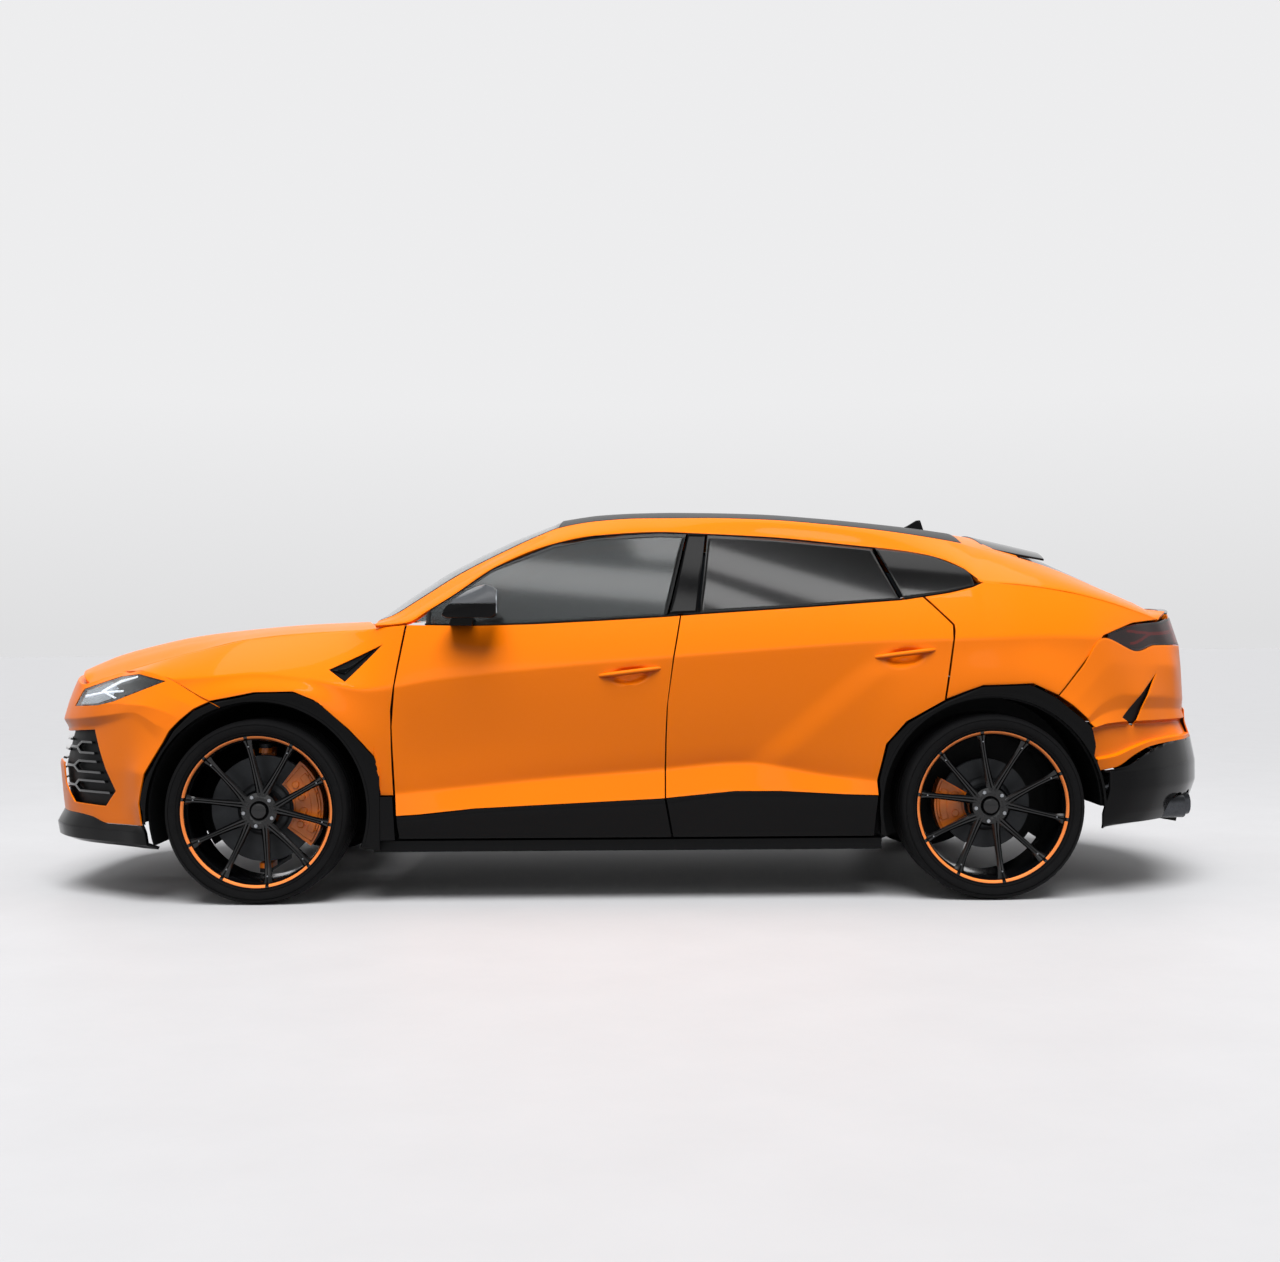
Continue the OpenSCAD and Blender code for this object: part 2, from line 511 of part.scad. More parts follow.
tip_ws = [mw(560), mw(680)];
tip_r = 48;
module exhaust_tips() {
  color("#2a2a2c") mirrored() for (w = tip_ws) translate([mx(2180), -w, 345]) rotate([0, 90, 0])
    difference() {
      cylinder(h = 230 - (w - tip_ws[0]) * 0.5, r = tip_r, $fn = 40);
      translate([0, 0, 30]) cylinder(h = 210, r = tip_r - 5, $fn = 40);
    }
}
module tail_lamps() {
  low = [for (p = [[1975, 890.4, 1059.2], [2122, 802, 1007], [2222, 722, 1031], [2300, 660, 1031],
    [2352, 600, 1029], [2380, 556, 1026]]) [mx(p[0]), -mw(p[1]), p[2]]];
  high = [for (p = [[1976, 889, 1076], [2114, 800, 1120], [2190, 738, 1126], [2250, 688, 1130],
    [2318, 600, 1145], [2340, 556, 1150]]) [mx(p[0]), -mw(p[1]), mz(p[2])]];
  color("#3a0d0d") mirrored() shell([low, high], turned([low, high], skin_t, -1, mw(556)));
}

module vent_insert() {
  intersection() {
    shell(on_side(vent_area, 8), on_side(vent_area, 15));
    across(-mw(1010), -mw(850)) polygon(vent(0.985));
  }
  intersection() {
    shell(on_side(vent_area, 1), on_side(vent_area, 12));
    across(-mw(1010), -mw(850)) polygon(mpts([[-1222, 951], [-1162, 966], [-1060, 1034], [-1170, 940]]));
  }
}
module body_cladding() {
  front_arch = [[-1023, 206], [-1023, 536], [-1036, 588], [-1146, 709], [-1273, 822], [-1368, 863],
    [-1528, 862], [-1701, 825], [-1780, 791], [-1860, 712], [-1974, 522], [-1994, 460], [-1999, 411],
    [-1975, 340]];
  rear_arch = [[1020, 262], [1020, 437], [1016, 492], [1054, 640], [1134, 722],
    [1288, 808], [1435, 868], [1637, 874], [1739, 821], [1883, 701], [1898, 628], [1890, 580],
    [1886, 517], [1926, 400], [1929, 378]];
  color("#141517") mirrored() {
    vent_insert();
    difference() {
      across(-mw(972), -mw(940)) polygon(concat(mpts(front_arch), mpts([[-1526, 340]])));
      translate([axle_f, -900, axle_z]) rotate([90, 0, 0]) cylinder(h = 200, r = arch_r + liner_t + 0.5, $fn = 72);
    }
    difference() {
      across(-mw(980), -mw(955)) polygon(concat(mpts(rear_arch), mpts([[1477, 262]])));
      translate([axle_r, -900, axle_z]) rotate([90, 0, 0]) cylinder(h = 200, r = arch_r + liner_t + 0.5, $fn = 72);
    }
    across(-mw(968), -mw(867)) polygon(mpts([[-1022, 258], [-1022, 436], [-972, 436], [-962, 258]]));
  }
}

// Cabin

module dashboard() {
  color("#1b1b1d") {
    across(-mw(730), mw(730)) polygon(mpts([[-1036, 780], [-1036, 1085], [-994, 1088], [-990, 1110], [-960, 1118], [-760, 1100],
      [-660, 1040], [-640, 960], [-700, 900], [-740, 760], [-860, 700]]));
    across(-130, 130) polygon(mpts([[-740, 331], [-740, 760], [-640, 700], [-200, 640], [300, 600],
      [330, 331]]));
  }
}
module steering_wheel() {
  color("#18181a") translate([mx(-500), -370, 925]) rotate([0, -62, 0]) {
    rotate_extrude($fn = 48) translate([178, 0]) circle(r = 16, $fn = 16);
    difference() {
      cylinder(h = 36, r = 62, center = true, $fn = 40);
      translate([0, 0, 10]) cylinder(h = 40, r = 50, $fn = 40);
    }
    for (a = [0, 90, 180, 270]) rotate([0, 0, a]) translate([55, -16, -8]) cube([116, 32, 14]);
    translate([0, 0, -150]) cylinder(h = 140, r = 34, $fn = 32);
  }
}
module seats() {
  color("#232326") {
    mirrored() {
      across(-650, -160) polygon(mpts([[-330, 246], [-350, 420], [-330, 520], [150, 480], [190, 560],
        [330, 1040], [420, 1030], [300, 520], [230, 420], [200, 246]]));
      across(-510, -300) polygon(mpts([[345, 1030], [370, 1200], [450, 1200], [410, 1020]]));
    }
    across(-640, 640) polygon(mpts([[640, 246], [620, 430], [640, 540], [1080, 510], [1110, 600],
      [1290, 1060], [1360, 1040], [1240, 640], [1150, 530], [1085, 502], [960, 246]]));
    for (w = [-420, 0, 420]) across(w - 110, w + 110)
      polygon(mpts([[1300, 1048], [1315, 1180], [1380, 1180], [1352, 1030]]));
  }
}
module engine_block() {
  color("#5b5d60") block([mx(-1960), -300, 420], [mx(-1180), 300, 900]);
}

// Running gear

module subframes() {
  pivot = kingpin_w;
  hub_w = track_rear / 2 - 196;
  color("#2d2e30") {
    for (x = [axle_f - 110, axle_f + 50]) block([x, -430, 250], [x + 60, 430, 330]);
    block([axle_f - 110, -340, 330], [axle_f + 110, 340, 419.5]);
    mirrored() {
      // arms that hold the kingpins, above and below the disc
      for (s = [-1, 1]) translate([axle_f, 0, axle_z + s * (kingpin_rise + 20)]) {
        translate([-18, -pivot, -8]) cube([36, pivot - 420, 16]);
        translate([0, -pivot, -8]) cylinder(h = 16, r = 26, $fn = 32);
        translate([0, -pivot, s > 0 ? -30 : 0]) cylinder(h = 30, r = pin_r, $fn = 32);
      }
      block([axle_f - 18, -445, 250], [axle_f + 18, -400, axle_z + kingpin_rise + 29]);
      block([axle_f - 18, -400, axle_z - 29], [axle_f + 18, -339, axle_z + 29]);
      block([axle_f - 18, -445, axle_z - kingpin_rise - 29], [axle_f + 18, -400, 251]);
    }
    // rear cross-member, arms and fixed stub axles
    for (x = [axle_r - 150, axle_r + 90]) block([x, -560, 300], [x + 60, 560, 380]);
    block([axle_r - 150, -260, 300], [axle_r + 150, 260, 470]);
    block([axle_r - 150, -260, 470], [axle_r - 110, 260, 559.5]);
    mirrored() {
      translate([axle_r, -hub_w, axle_z]) rotate([90, 0, 0])
        cylinder(h = track_rear / 2 - hub_w + spoke_z - 14, r = spindle_r, $fn = 48);
      block([axle_r - 90, -hub_w - 60, 330], [axle_r + 90, -hub_w, 426]);
      for (x = [axle_r - 90, axle_r + 60]) block([x, -hub_w - 1, 300], [x + 30, -200, 340]);
    }
  }
}
// Brake caliper that straddles a disc, drawn about the wheel's own axis
module caliper(r_disc, a0, a1) {
  difference() {
    rotate([0, 0, a0]) rotate_extrude(angle = a1 - a0, $fn = 72) translate([r_disc - 92, -78])
      square([122, 84]);
    rotate([0, 0, a0 - 5]) rotate_extrude(angle = a1 - a0 + 10, $fn = 72) translate([r_disc - 110, -59])
      square([118, 45]);
  }
}
module knuckle() {
  at_wheel(axle_f, track_front / 2) {
    caliper(disc_d_front / 2, -38, 52);
    difference() {
      union() {
        translate([0, 0, -128]) cylinder(h = 48, r = 72, $fn = 48);
        translate([0, 0, -128]) cylinder(h = 128 + spoke_z - 14, r = spindle_r, $fn = 48);
        translate([-28, -kingpin_rise, -128]) cube([56, 2 * kingpin_rise, 34]);
        for (s = [-1, 1]) translate([0, s * kingpin_rise, -47.5]) rotate([90, 0, 0])
          cylinder(h = 20, r = 28, center = true, $fn = 32);
        for (s = [-1, 1]) translate([-28, s * kingpin_rise - 10, -128]) cube([56, 20, 80.5]);
        translate([60, -50, -128]) cube([110, 100, 51]);
      }
      for (s = [-1, 1]) translate([0, s * kingpin_rise, -47.5]) rotate([90, 0, 0])
        cylinder(h = 60, r = pin_r + run_fit, center = true, $fn = 32);
    }
  }
}
module knuckle_left() {
  color("#e8661a") knuckle();
}
module knuckle_right() {
  color("#e8661a") right_side() knuckle();
}
module rear_calipers() {
  color("#e8661a") mirrored() at_wheel(axle_r, track_rear / 2) {
    caliper(disc_d_rear / 2, 150, 208);
    translate([-185, -40, -128]) cube([110, 80, 51]);
  }
}

module tyre(w) {
  h = w / 2;
  r = tyre_d / 2;
  color("#17181a") rotate_extrude($fn = 96) polygon([
    [rim_d / 2 - 14, -h + 25.6], [rim_d / 2 + 1, -h + 21.6], [r - 48, -h + 5], [r - 28, -h],
    [r - 12, -h + 7], [r - 4, -h + 22], [r, -h + 48], [r, h - 48], [r - 4, h - 22], [r - 12, h - 7],
    [r - 28, h], [r - 48, h - 5], [rim_d / 2 + 1, h - 21.6], [rim_d / 2 - 14, h - 25.6]
  ]);
}
function spoke_end(r, angle, off) =
  [r * cos(angle) - off * sin(angle), r * sin(angle) + off * cos(angle)];

module rim(w, r_disc) {
  h = w / 2;
  rr = rim_d / 2;
  color("#131416") {
    difference() {
      union() {
        rotate_extrude($fn = 96) polygon([
          [rr, h - 15], [rr, h - 21], [rr - 14.5, h - 25], [rr - 14.5, -h + 25], [rr, -h + 21],
          [rr, -h + 15], [rr - 11, -h + 15], [rr - 27, -h + 27], [rr - 27, h - 82], [rr - 21, h - 42],
          [rr - 11, h - 15]
        ]);
        for (i = [0:spoke_pairs - 1]) rotate([0, 0, 8 + i * 360 / spoke_pairs])
          translate([0, 0, spoke_z]) linear_extrude(h - 52 - spoke_z) polygon([
            [48, -13], spoke_end(rr - 18, -18, -11), spoke_end(rr - 18, -18, 11), [82, 0],
            spoke_end(rr - 18, 18, -11), spoke_end(rr - 18, 18, 11), [48, 13]
          ]);
        translate([0, 0, -10]) cylinder(h = h - 48 + 10, r = 86, $fn = 48);
      }
      translate([0, 0, -20]) cylinder(h = 20 + spoke_z - 8, r = spindle_r + run_fit, $fn = 48);
    }
    difference() {
      union() {
        translate([0, 0, -52]) cylinder(h = 32, r = r_disc, $fn = 72);
        translate([0, 0, -52]) cylinder(h = 42.5, r = 92, $fn = 48);
      }
      translate([0, 0, -60]) cylinder(h = 60, r = spindle_r + run_fit, $fn = 48);
    }
  }
}
module tyre_front_left() {
  at_wheel(axle_f, track_front / 2) tyre(tyre_w_front);
}
module tyre_front_right() {
  right_side() at_wheel(axle_f, track_front / 2) tyre(tyre_w_front);
}
module tyre_rear_left() {
  at_wheel(axle_r, track_rear / 2) tyre(tyre_w_rear);
}
module tyre_rear_right() {
  right_side() at_wheel(axle_r, track_rear / 2) tyre(tyre_w_rear);
}
module wheel_front_left() {
  at_wheel(axle_f, track_front / 2) rim(tyre_w_front, disc_d_front / 2);
}
module wheel_front_right() {
  right_side() at_wheel(axle_f, track_front / 2) rim(tyre_w_front, disc_d_front / 2);
}
module wheel_rear_left() {
  at_wheel(axle_r, track_rear / 2) rim(tyre_w_rear, disc_d_rear / 2);
}
module wheel_rear_right() {
  right_side() at_wheel(axle_r, track_rear / 2) rim(tyre_w_rear, disc_d_rear / 2);
}

// Bonnet and tailgate

bonnet_s = [-1, -0.8, -0.55, -0.3, 0, 0.3, 0.55, 0.8, 1];
function bonnet_pt(s, u, down) = let(
  a = abs(s), w_f = a * mw(596),
  x_f = lookup(w_f, [[0, mx(-2446)], [220, mx(-2440)], [420, mx(-2412)], [530, mx(-2374)],
    [mw(596), mx(-2326)]]),
  x_r = lerp(mx(-1195), mx(-1060), a * a),
  x = lerp(x_f, x_r, u),
  z_m = lookup(x, [for (p = bonnet_mid) [mx(p[0]), p[1]]]),
  w_e = wat(belt, min(x, mx(-1227))) - skin_t - shut_gap - max(0, (x - mx(-1227)) * 0.19),
  z_e = zat(belt, x),
  rise = lookup(a, [[0, 0.1], [0.3, 0.05], [0.55, 0], [0.8, 0.4], [1, 1]]))
  [x, s * w_e, lerp(z_m, z_e, rise) - down];
module bonnet() {
  steps = [for (i = [0:9]) i / 9];
  color("#f58a07")
    shell([for (s = bonnet_s) [for (u = steps) bonnet_pt(s, u, 0)]],
      [for (s = bonnet_s) [for (u = steps) bonnet_pt(s, u, lid_t)]]);
}

// Profile of the tailgate as x at the middle, x at the edge, height at the middle and at the edge
gate_top = [[1446, 1446, 1548, 1470], [1560, 1560, 1530, 1448], [1700, 1690, 1494, 1412]];
gate_low = [[2258, 2200, 1236, 1200], [2330, 2268, 1196, 1166], [2436, 2330, 1186, 1160],
  [2440, 2334, 1172, 1152], [2452, 2346, 1090, 1080], [2474, 2378, 930, 930], [2484, 2394, 762, 762]];
function gate_pt(p, s, inward) = let(
  a = abs(s), down = p[2] > 1180 ? 1 : 0)
  [lerp(mx(p[0]), mx(p[1]), a * a) - inward * (1 - down), s * tailgate_w,
    lerp(mz(p[2]), mz(p[3]), a * a) - inward * down];
gate_s = [1, 0.75, 0.5, 0.25, 0, -0.25, -0.5, -0.75, -1];
module gate_skin(rows, t) {
  shell([for (s = reversed(gate_s)) [for (p = rows) gate_pt(p, s, 0)]],
    [for (s = reversed(gate_s)) [for (p = rows) gate_pt(p, s, t)]]);
}
module tailgate() {
  color("#f58a07") {
    gate_skin(gate_top, lid_t);
    gate_skin(gate_low, lid_t);
    // side members of the frame beside the glass
    mirrored() shell([
      [[mx(1650), -tailgate_w, mz(1423)], [mx(2215), -tailgate_w, mz(1194)]],
      [[mx(1650), -tailgate_w + 50, mz(1432)], [mx(2215), -tailgate_w + 50, mz(1200)]]
    ], [
      [[mx(1650), -tailgate_w, mz(1393)], [mx(2215), -tailgate_w, mz(1164)]],
      [[mx(1650), -tailgate_w + 50, mz(1402)], [mx(2215), -tailgate_w + 50, mz(1170)]]
    ]);
  }
}
module tailgate_glass() {
  color("#1c2226") {
    rows = [[1700.6, 1690.6, 1492, 1412], [1880, 1860, 1424, 1342], [2060, 2030, 1338, 1274],
      [2256.4, 2198.4, 1236, 1201]];
    g = [for (s = reversed(gate_s)) [for (p = rows) let(q = gate_pt(p, s * 0.908, 0)) [q[0], q[1], q[2] - 2]]];
    shell(g, shift(g, [0, 0, -glass_t]));
  }
}
module roof_spoiler() {
  color("#121315") {
    rows = [[1530, 1530, 1537, 1462], [1700, 1690, 1506, 1440], [1830, 1800, 1478, 1432]];
    g = [for (s = reversed(gate_s)) [for (p = rows) let(q = gate_pt(p, s * 0.93, 0)) [q[0], q[1], q[2] + 1]]];
    shell(shift(g, [0, 0, 14]), g);
  }
}

// Doors

function door_grid(edges, inward, end_in) = [for (e = edges) let(
  x0 = mx(e[1]) + half_gap, x1 = mx(e[2]) - half_gap - end_in)
  [for (i = [0:8]) let(x = lerp(x0, x1, i / 8), z = e[0] == "low" ? 262 : e[0] == "sill" ? zat(sill_top, x) + e[3]
    : e[0] == "blade" ? zat(blade, x) : e[0] == "waist" ? zat(waist_in, x)
    : e[0] == "mix" ? lerp(zat(waist_in, x), zat(crease, x), e[3])
    : e[0] == "upper" ? lerp(zat(crease, x), zat(belt, x), e[3])
    : e[0] == "crease" ? zat(crease, x) : zat(belt, x))
    [x, inward - side_w(x, z), z]]];
waist_in = line([[-980, 635, 0], [-861, 600, 0], [-600, 650, 0], [0, 680, 0], [458, 690, 0], [1033, 640, 0]]);
front_edges = [["sill", -957, 143, 1], ["blade", -964, 144, 0], ["waist", -972, 148, 0],
  ["mix", -975, 154, 0.35], ["crease", -962, 181, 0], ["belt", -923, 212, 0]];
rear_edges = [["sill", 143, 1012, 1], ["blade", 144, 1008, 0], ["waist", 148, 1044, 0],
  ["mix", 151, 1125, 0.22], ["mix", 154, 1281, 0.42], ["crease", 181, 1322, 0], ["upper", 191, 1326, 0.3], ["belt", 212, 1216, 0]];
// A door with a hollow for the hand behind its pull
module door(edges, hand) {
  w = side_w(mx(hand[0]), hand[1]);
  color("#f58a07") {
    difference() {
      shell(door_grid(edges, 0, 0), door_grid(edges, door_t, 14));
      translate([mx(hand[0]), -w - 70, hand[1] - 26]) sphere(r = 94, $fn = 48);
    }
    translate([mx(hand[0]), -w, hand[1]]) rotate([0, 6.5, 0]) translate([0, 0, -10]) linear_extrude(21) polygon([
      [-132, 8], [-120, -10], [-72, -19], [72, -19], [120, -10], [132, 8], [106, 8], [96, -6], [-96, -6], [-106, 8]
    ]);
  }
}
module sill_part(x0, x1) {
  edges = [["low", x0[0], x1[0], 0], ["sill", x0[1], x1[1], -1]];
  color("#141517") shell(door_grid(edges, 0, 0), door_grid(edges, 70, 14));
}
module door_front_left() {
  door(front_edges, [2, 937]);
}
module door_front_right() {
  right_side() door(front_edges, [2, 937]);
}
module door_rear_left() {
  door(rear_edges, [1122, 1008]);
}
module door_rear_right() {
  right_side() door(rear_edges, [1122, 1008]);
}
module cladding_front_left() {
  sill_part([-951, -957], [171, 143]);
}
module cladding_front_right() {
  right_side() sill_part([-951, -957], [171, 143]);
}
module cladding_rear_left() {
  sill_part([171, 143], [1000, 1012]);
}
module cladding_rear_right() {
  right_side() sill_part([171, 143], [1000, 1012]);
}
module glass_front_left() {
  color("#2b3338") glass_strip(mx(-842), mx(156), mx(-842), mx(243), 8, seat_gap, 7, 2);
}
module glass_front_right() {
  right_side() glass_front_left();
}
module glass_rear_left() {
  color("#16191b") glass_strip(mx(290), mx(1126), mx(335), mx(1034), 6, 2.8, 7, 2);
}
module glass_rear_right() {
  right_side() glass_rear_left();
}
module mirror_part() {
  color("#111214") {
    front = [-728, -746, -735, -700, -640];
    back = [-540, -533, -532, -536, -548];
    heights = [1164, 1184, 1222, 1262, 1296];
    face = [for (j = [0:4]) [for (i = [0:5]) let(u = i / 5)
      [mx(lerp(front[j], back[j], u)), -mw(1002 + 82 * sin(25 + 75 * u) * (0.72 + 0.28 * sin(20 + 35 * j))), mz(heights[j])]]];
    inner = [for (j = [0:4]) [for (i = [0:5]) let(u = i / 5)
      [mx(lerp(front[j], back[j], u)), -mw(958 + 6 * j - 22 * u), mz(heights[j])]]];
    shell(face, inner);
    across(-mw(950), -mw(876)) polygon([
      [mx(-740), zat(belt, mx(-740)) + seat_gap], [mx(-640), zat(belt, mx(-640)) + seat_gap],
      [mx(-630), 1180], [mx(-730), 1180]
    ]);
  }
}
module mirror_left() {
  mirror_part();
}
module mirror_right() {
  right_side() mirror_part();
}

floor_pan();
side_frame_left();
side_frame_right();
roof_panel();
fixed_glass();
cowl();
front_wings();
front_bumper();
front_grille();
headlamps();
rear_bumper();
rear_diffuser();
exhaust_tips();
tail_lamps();
body_cladding();
dashboard();
steering_wheel();
seats();
engine_block();
subframes();
rear_calipers();
bonnet();
tailgate();
tailgate_glass();
roof_spoiler();
door_front_left();
door_front_right();
door_rear_left();
door_rear_right();
cladding_front_left();
cladding_front_right();
cladding_rear_left();
cladding_rear_right();
glass_front_left();
glass_front_right();
glass_rear_left();
glass_rear_right();
mirror_left();
mirror_right();
knuckle_left();
knuckle_right();
tyre_front_left();
tyre_front_right();
tyre_rear_left();
tyre_rear_right();
wheel_front_left();
wheel_front_right();
wheel_rear_left();
wheel_rear_right();
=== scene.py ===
import math
import random

import bmesh
import bpy
from mathutils import Matrix, Vector


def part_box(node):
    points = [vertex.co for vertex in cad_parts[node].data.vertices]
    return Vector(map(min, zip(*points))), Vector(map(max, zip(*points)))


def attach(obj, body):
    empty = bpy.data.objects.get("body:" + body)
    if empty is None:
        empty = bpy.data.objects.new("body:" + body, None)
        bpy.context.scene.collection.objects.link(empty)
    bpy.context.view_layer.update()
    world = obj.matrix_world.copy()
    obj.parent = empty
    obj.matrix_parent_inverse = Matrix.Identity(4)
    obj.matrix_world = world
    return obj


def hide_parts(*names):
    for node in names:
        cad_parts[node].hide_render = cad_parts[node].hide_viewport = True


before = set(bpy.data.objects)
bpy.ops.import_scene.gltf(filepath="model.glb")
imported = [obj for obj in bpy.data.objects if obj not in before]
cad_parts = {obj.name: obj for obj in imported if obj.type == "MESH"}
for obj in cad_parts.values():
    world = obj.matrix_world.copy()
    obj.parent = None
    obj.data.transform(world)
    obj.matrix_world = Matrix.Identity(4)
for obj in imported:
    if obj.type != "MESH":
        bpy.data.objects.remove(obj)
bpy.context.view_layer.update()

mm = 0.001
random.seed(7)


# Shader helpers

class Value:
    def __init__(self, tree, socket):
        self.tree = tree
        self.socket = socket

    def maths(self, operation, *others):
        node = self.tree.nodes.new("ShaderNodeMath")
        node.operation = operation
        for i, other in enumerate((self,) + others):
            feed(self.tree, node.inputs[i], other)
        return Value(self.tree, node.outputs[0])

    def __add__(self, other):
        return self.maths("ADD", other)

    def __sub__(self, other):
        return self.maths("SUBTRACT", other)

    def __mul__(self, other):
        return self.maths("MULTIPLY", other)

    def __gt__(self, other):
        return self.maths("GREATER_THAN", other)


def feed(tree, socket, value):
    if isinstance(value, Value):
        tree.links.new(value.socket, socket)
    elif hasattr(socket.default_value, "__len__") and len(socket.default_value) == 4 and len(value) == 3:
        socket.default_value = (*value, 1)
    else:
        socket.default_value = value


class Finish:
    def __init__(self, name, **values):
        self.material = bpy.data.materials.new(name)
        self.material.use_nodes = True
        self.tree = self.material.node_tree
        self.tree.nodes.clear()
        self.shader = self.tree.nodes.new("ShaderNodeBsdfPrincipled")
        end = self.tree.nodes.new("ShaderNodeOutputMaterial")
        self.tree.links.new(self.shader.outputs[0], end.inputs[0])
        self.set(**values)

    def set(self, **values):
        for name, value in values.items():
            feed(self.tree, self.shader.inputs[titles[name]], value)

    def node(self, kind, settings=None, inputs=None, output=0):
        made = self.tree.nodes.new(kind)
        for name, value in (settings or {}).items():
            setattr(made, name, value)
        for name, value in (inputs or {}).items():
            feed(self.tree, made.inputs[name], value)
        return Value(self.tree, made.outputs[output])

    def place(self, scale=(1, 1, 1)):
        here = self.node("ShaderNodeTexCoord", output="Object")
        return self.node("ShaderNodeMapping", inputs={"Vector": here, "Scale": scale})

    def axis(self, letter):
        return self.node("ShaderNodeSeparateXYZ",
                         inputs={"Vector": self.node("ShaderNodeTexCoord", output="Object")},
                         output=letter.upper())

    def noise(self, scale, detail=2.0, rough=0.5, stretch=(1, 1, 1)):
        return self.node("ShaderNodeTexNoise", inputs={
            "Vector": self.place(stretch), "Scale": scale, "Detail": detail, "Roughness": rough})

    def between(self, low, high, fac):
        mix = self.tree.nodes.new("ShaderNodeMix")
        mix.data_type = "RGBA"
        feed(self.tree, mix.inputs[0], fac)
        feed(self.tree, mix.inputs[6], low)
        feed(self.tree, mix.inputs[7], high)
        return Value(self.tree, mix.outputs[2])

    def spread(self, value, low, high):
        return value * (high - low) + low

    def bump(self, height, strength=0.2, distance=0.001):
        return self.node("ShaderNodeBump",
                         inputs={"Height": height, "Strength": strength, "Distance": distance})


titles = {
    "color": "Base Color", "metal": "Metallic", "rough": "Roughness", "normal": "Normal",
    "coat": "Coat Weight",
    "coatRough": "Coat Roughness", "clear": "Transmission Weight", "ior": "IOR", "glow": "Emission Color",
    "glowLevel": "Emission Strength",
    "specular": "Specular IOR Level",
}


def srgb(code):
    parts = [int(code[i:i + 2], 16) / 255 for i in (0, 2, 4)]
    return tuple(c / 12.92 if c <= 0.04045 else ((c + 0.055) / 1.055) ** 2.4 for c in parts)


def painted(name, low, high, **values):
    skin = Finish(name, **values)
    grain = skin.noise(900, 2, 0.6)
    skin.set(color=skin.between(srgb(low), srgb(high), grain),
             rough=skin.spread(skin.noise(14, 3), 0.3, 0.38))
    return skin.material


def plain(name, low, high, roughLow, roughHigh, scale=40, grain=0.0, **values):
    skin = Finish(name, **values)
    patchy = skin.noise(scale, 3, 0.6)
    skin.set(color=skin.between(srgb(low), srgb(high), patchy),
             rough=skin.spread(skin.noise(scale * 2.3, 4), roughLow, roughHigh))
    if grain:
        skin.set(normal=skin.bump(skin.noise(scale * 28, 3, 0.7), grain, 0.0006))
    return skin.material


paint = painted("orange_paint", "f17402", "f87d05", coat=0.24, coatRough=0.04, specular=0.08)
glossBlack = plain("gloss_black", "030304", "060607", 0.08, 0.14, specular=0.14)
roofBlack = plain("roof_black", "040405", "070708", 0.30, 0.38, specular=0.12)
satinBlack = plain("satin_black", "08090a", "0c0d0e", 0.45, 0.6, 60, 0.15, specular=0.15)
darkPlastic = plain("dark_plastic", "191a1c", "202124", 0.55, 0.7, 60, 0.2)
linerFelt = plain("wheel_liner", "0a0a0b", "0f1011", 0.85, 0.95, 80, 0.4, specular=0.15)
underside = plain("underbody_coat", "18191b", "232427", 0.7, 0.9, 30, 0.35)
castIron = plain("cast_iron", "2c2d30", "3b3d41", 0.5, 0.7, 45, 0.3, metal=0.7)
caliperPaint = plain("caliper_orange", "ff7a12", "ff8c24", 0.3, 0.4, 30, 0.0, coat=0.4, coatRough=0.1)
rimBlack = plain("rim_gloss_black", "040405", "08090a", 0.14, 0.22, 30, 0.0, specular=0.2, coat=0.6,
                 coatRough=0.08)
rimLine = plain("rim_orange_line", "f58238", "ff9246", 0.35, 0.45, 30, 0.0)
chrome = plain("bright_reflector", "b9bfc6", "d6dbe0", 0.12, 0.2, 20, metal=1.0)
discMetal = plain("disc_steel", "2a2b2d", "37393b", 0.36, 0.5, 25, metal=0.8)
nutMetal = plain("wheel_nut_metal", "8d9094", "a9acb0", 0.25, 0.35, 25, metal=1.0)
tipMetal = plain("exhaust_metal", "3c3d40", "57595d", 0.22, 0.34, 25, metal=1.0)
leather = plain("black_leather", "1c1c1e", "262628", 0.5, 0.62, 90, 0.5)
headliner = plain("headliner", "1a1a1c", "242427", 0.9, 1.0, 200, 0.3)
lampDark = plain("lamp_housing", "0e0f11", "16181b", 0.25, 0.4, 40, coat=0.5)


def tyreFinish():
    skin = Finish("tyre_rubber", specular=0.16)
    dust = skin.noise(9, 4, 0.6)
    skin.set(color=skin.between(srgb("0a0a0b"), srgb("111112"), dust),
             rough=skin.spread(skin.noise(40, 3), 0.62, 0.8),
             normal=skin.bump(skin.noise(420, 3, 0.6), 0.2, 0.0004))
    return skin.material


def glassFinish(name, code, rough=0.0):
    skin = Finish(name, clear=1.0, ior=1.45, rough=rough)
    dust = skin.noise(3, 2, 0.5)
    skin.set(color=skin.between(srgb(code), tuple(c * 0.92 for c in srgb(code)), dust))
    return skin.material


# Woven check of two greys; both are lighter than the black weave itself, a painted reflection of the pale
# surroundings
def weave(name):
    skin = Finish(name, coat=1.0, coatRough=0.05, specular=0.4)
    a, b = skin.axis("x"), skin.axis("z")
    stripes = ((a + b) * 900).maths("SINE") * ((a - b) * 900).maths("SINE")
    skin.set(color=skin.between(srgb("303234"), srgb("606368"), stripes > 0),
             rough=skin.spread(stripes, 0.3, 0.42))
    return skin.material


def lampGlow(name, code, level):
    skin = Finish(name, glow=srgb(code), glowLevel=level)
    skin.set(color=skin.between(srgb(code), tuple(c * 0.9 for c in srgb(code)), skin.noise(30, 2)),
             rough=skin.spread(skin.noise(60), 0.3, 0.4))
    return skin.material


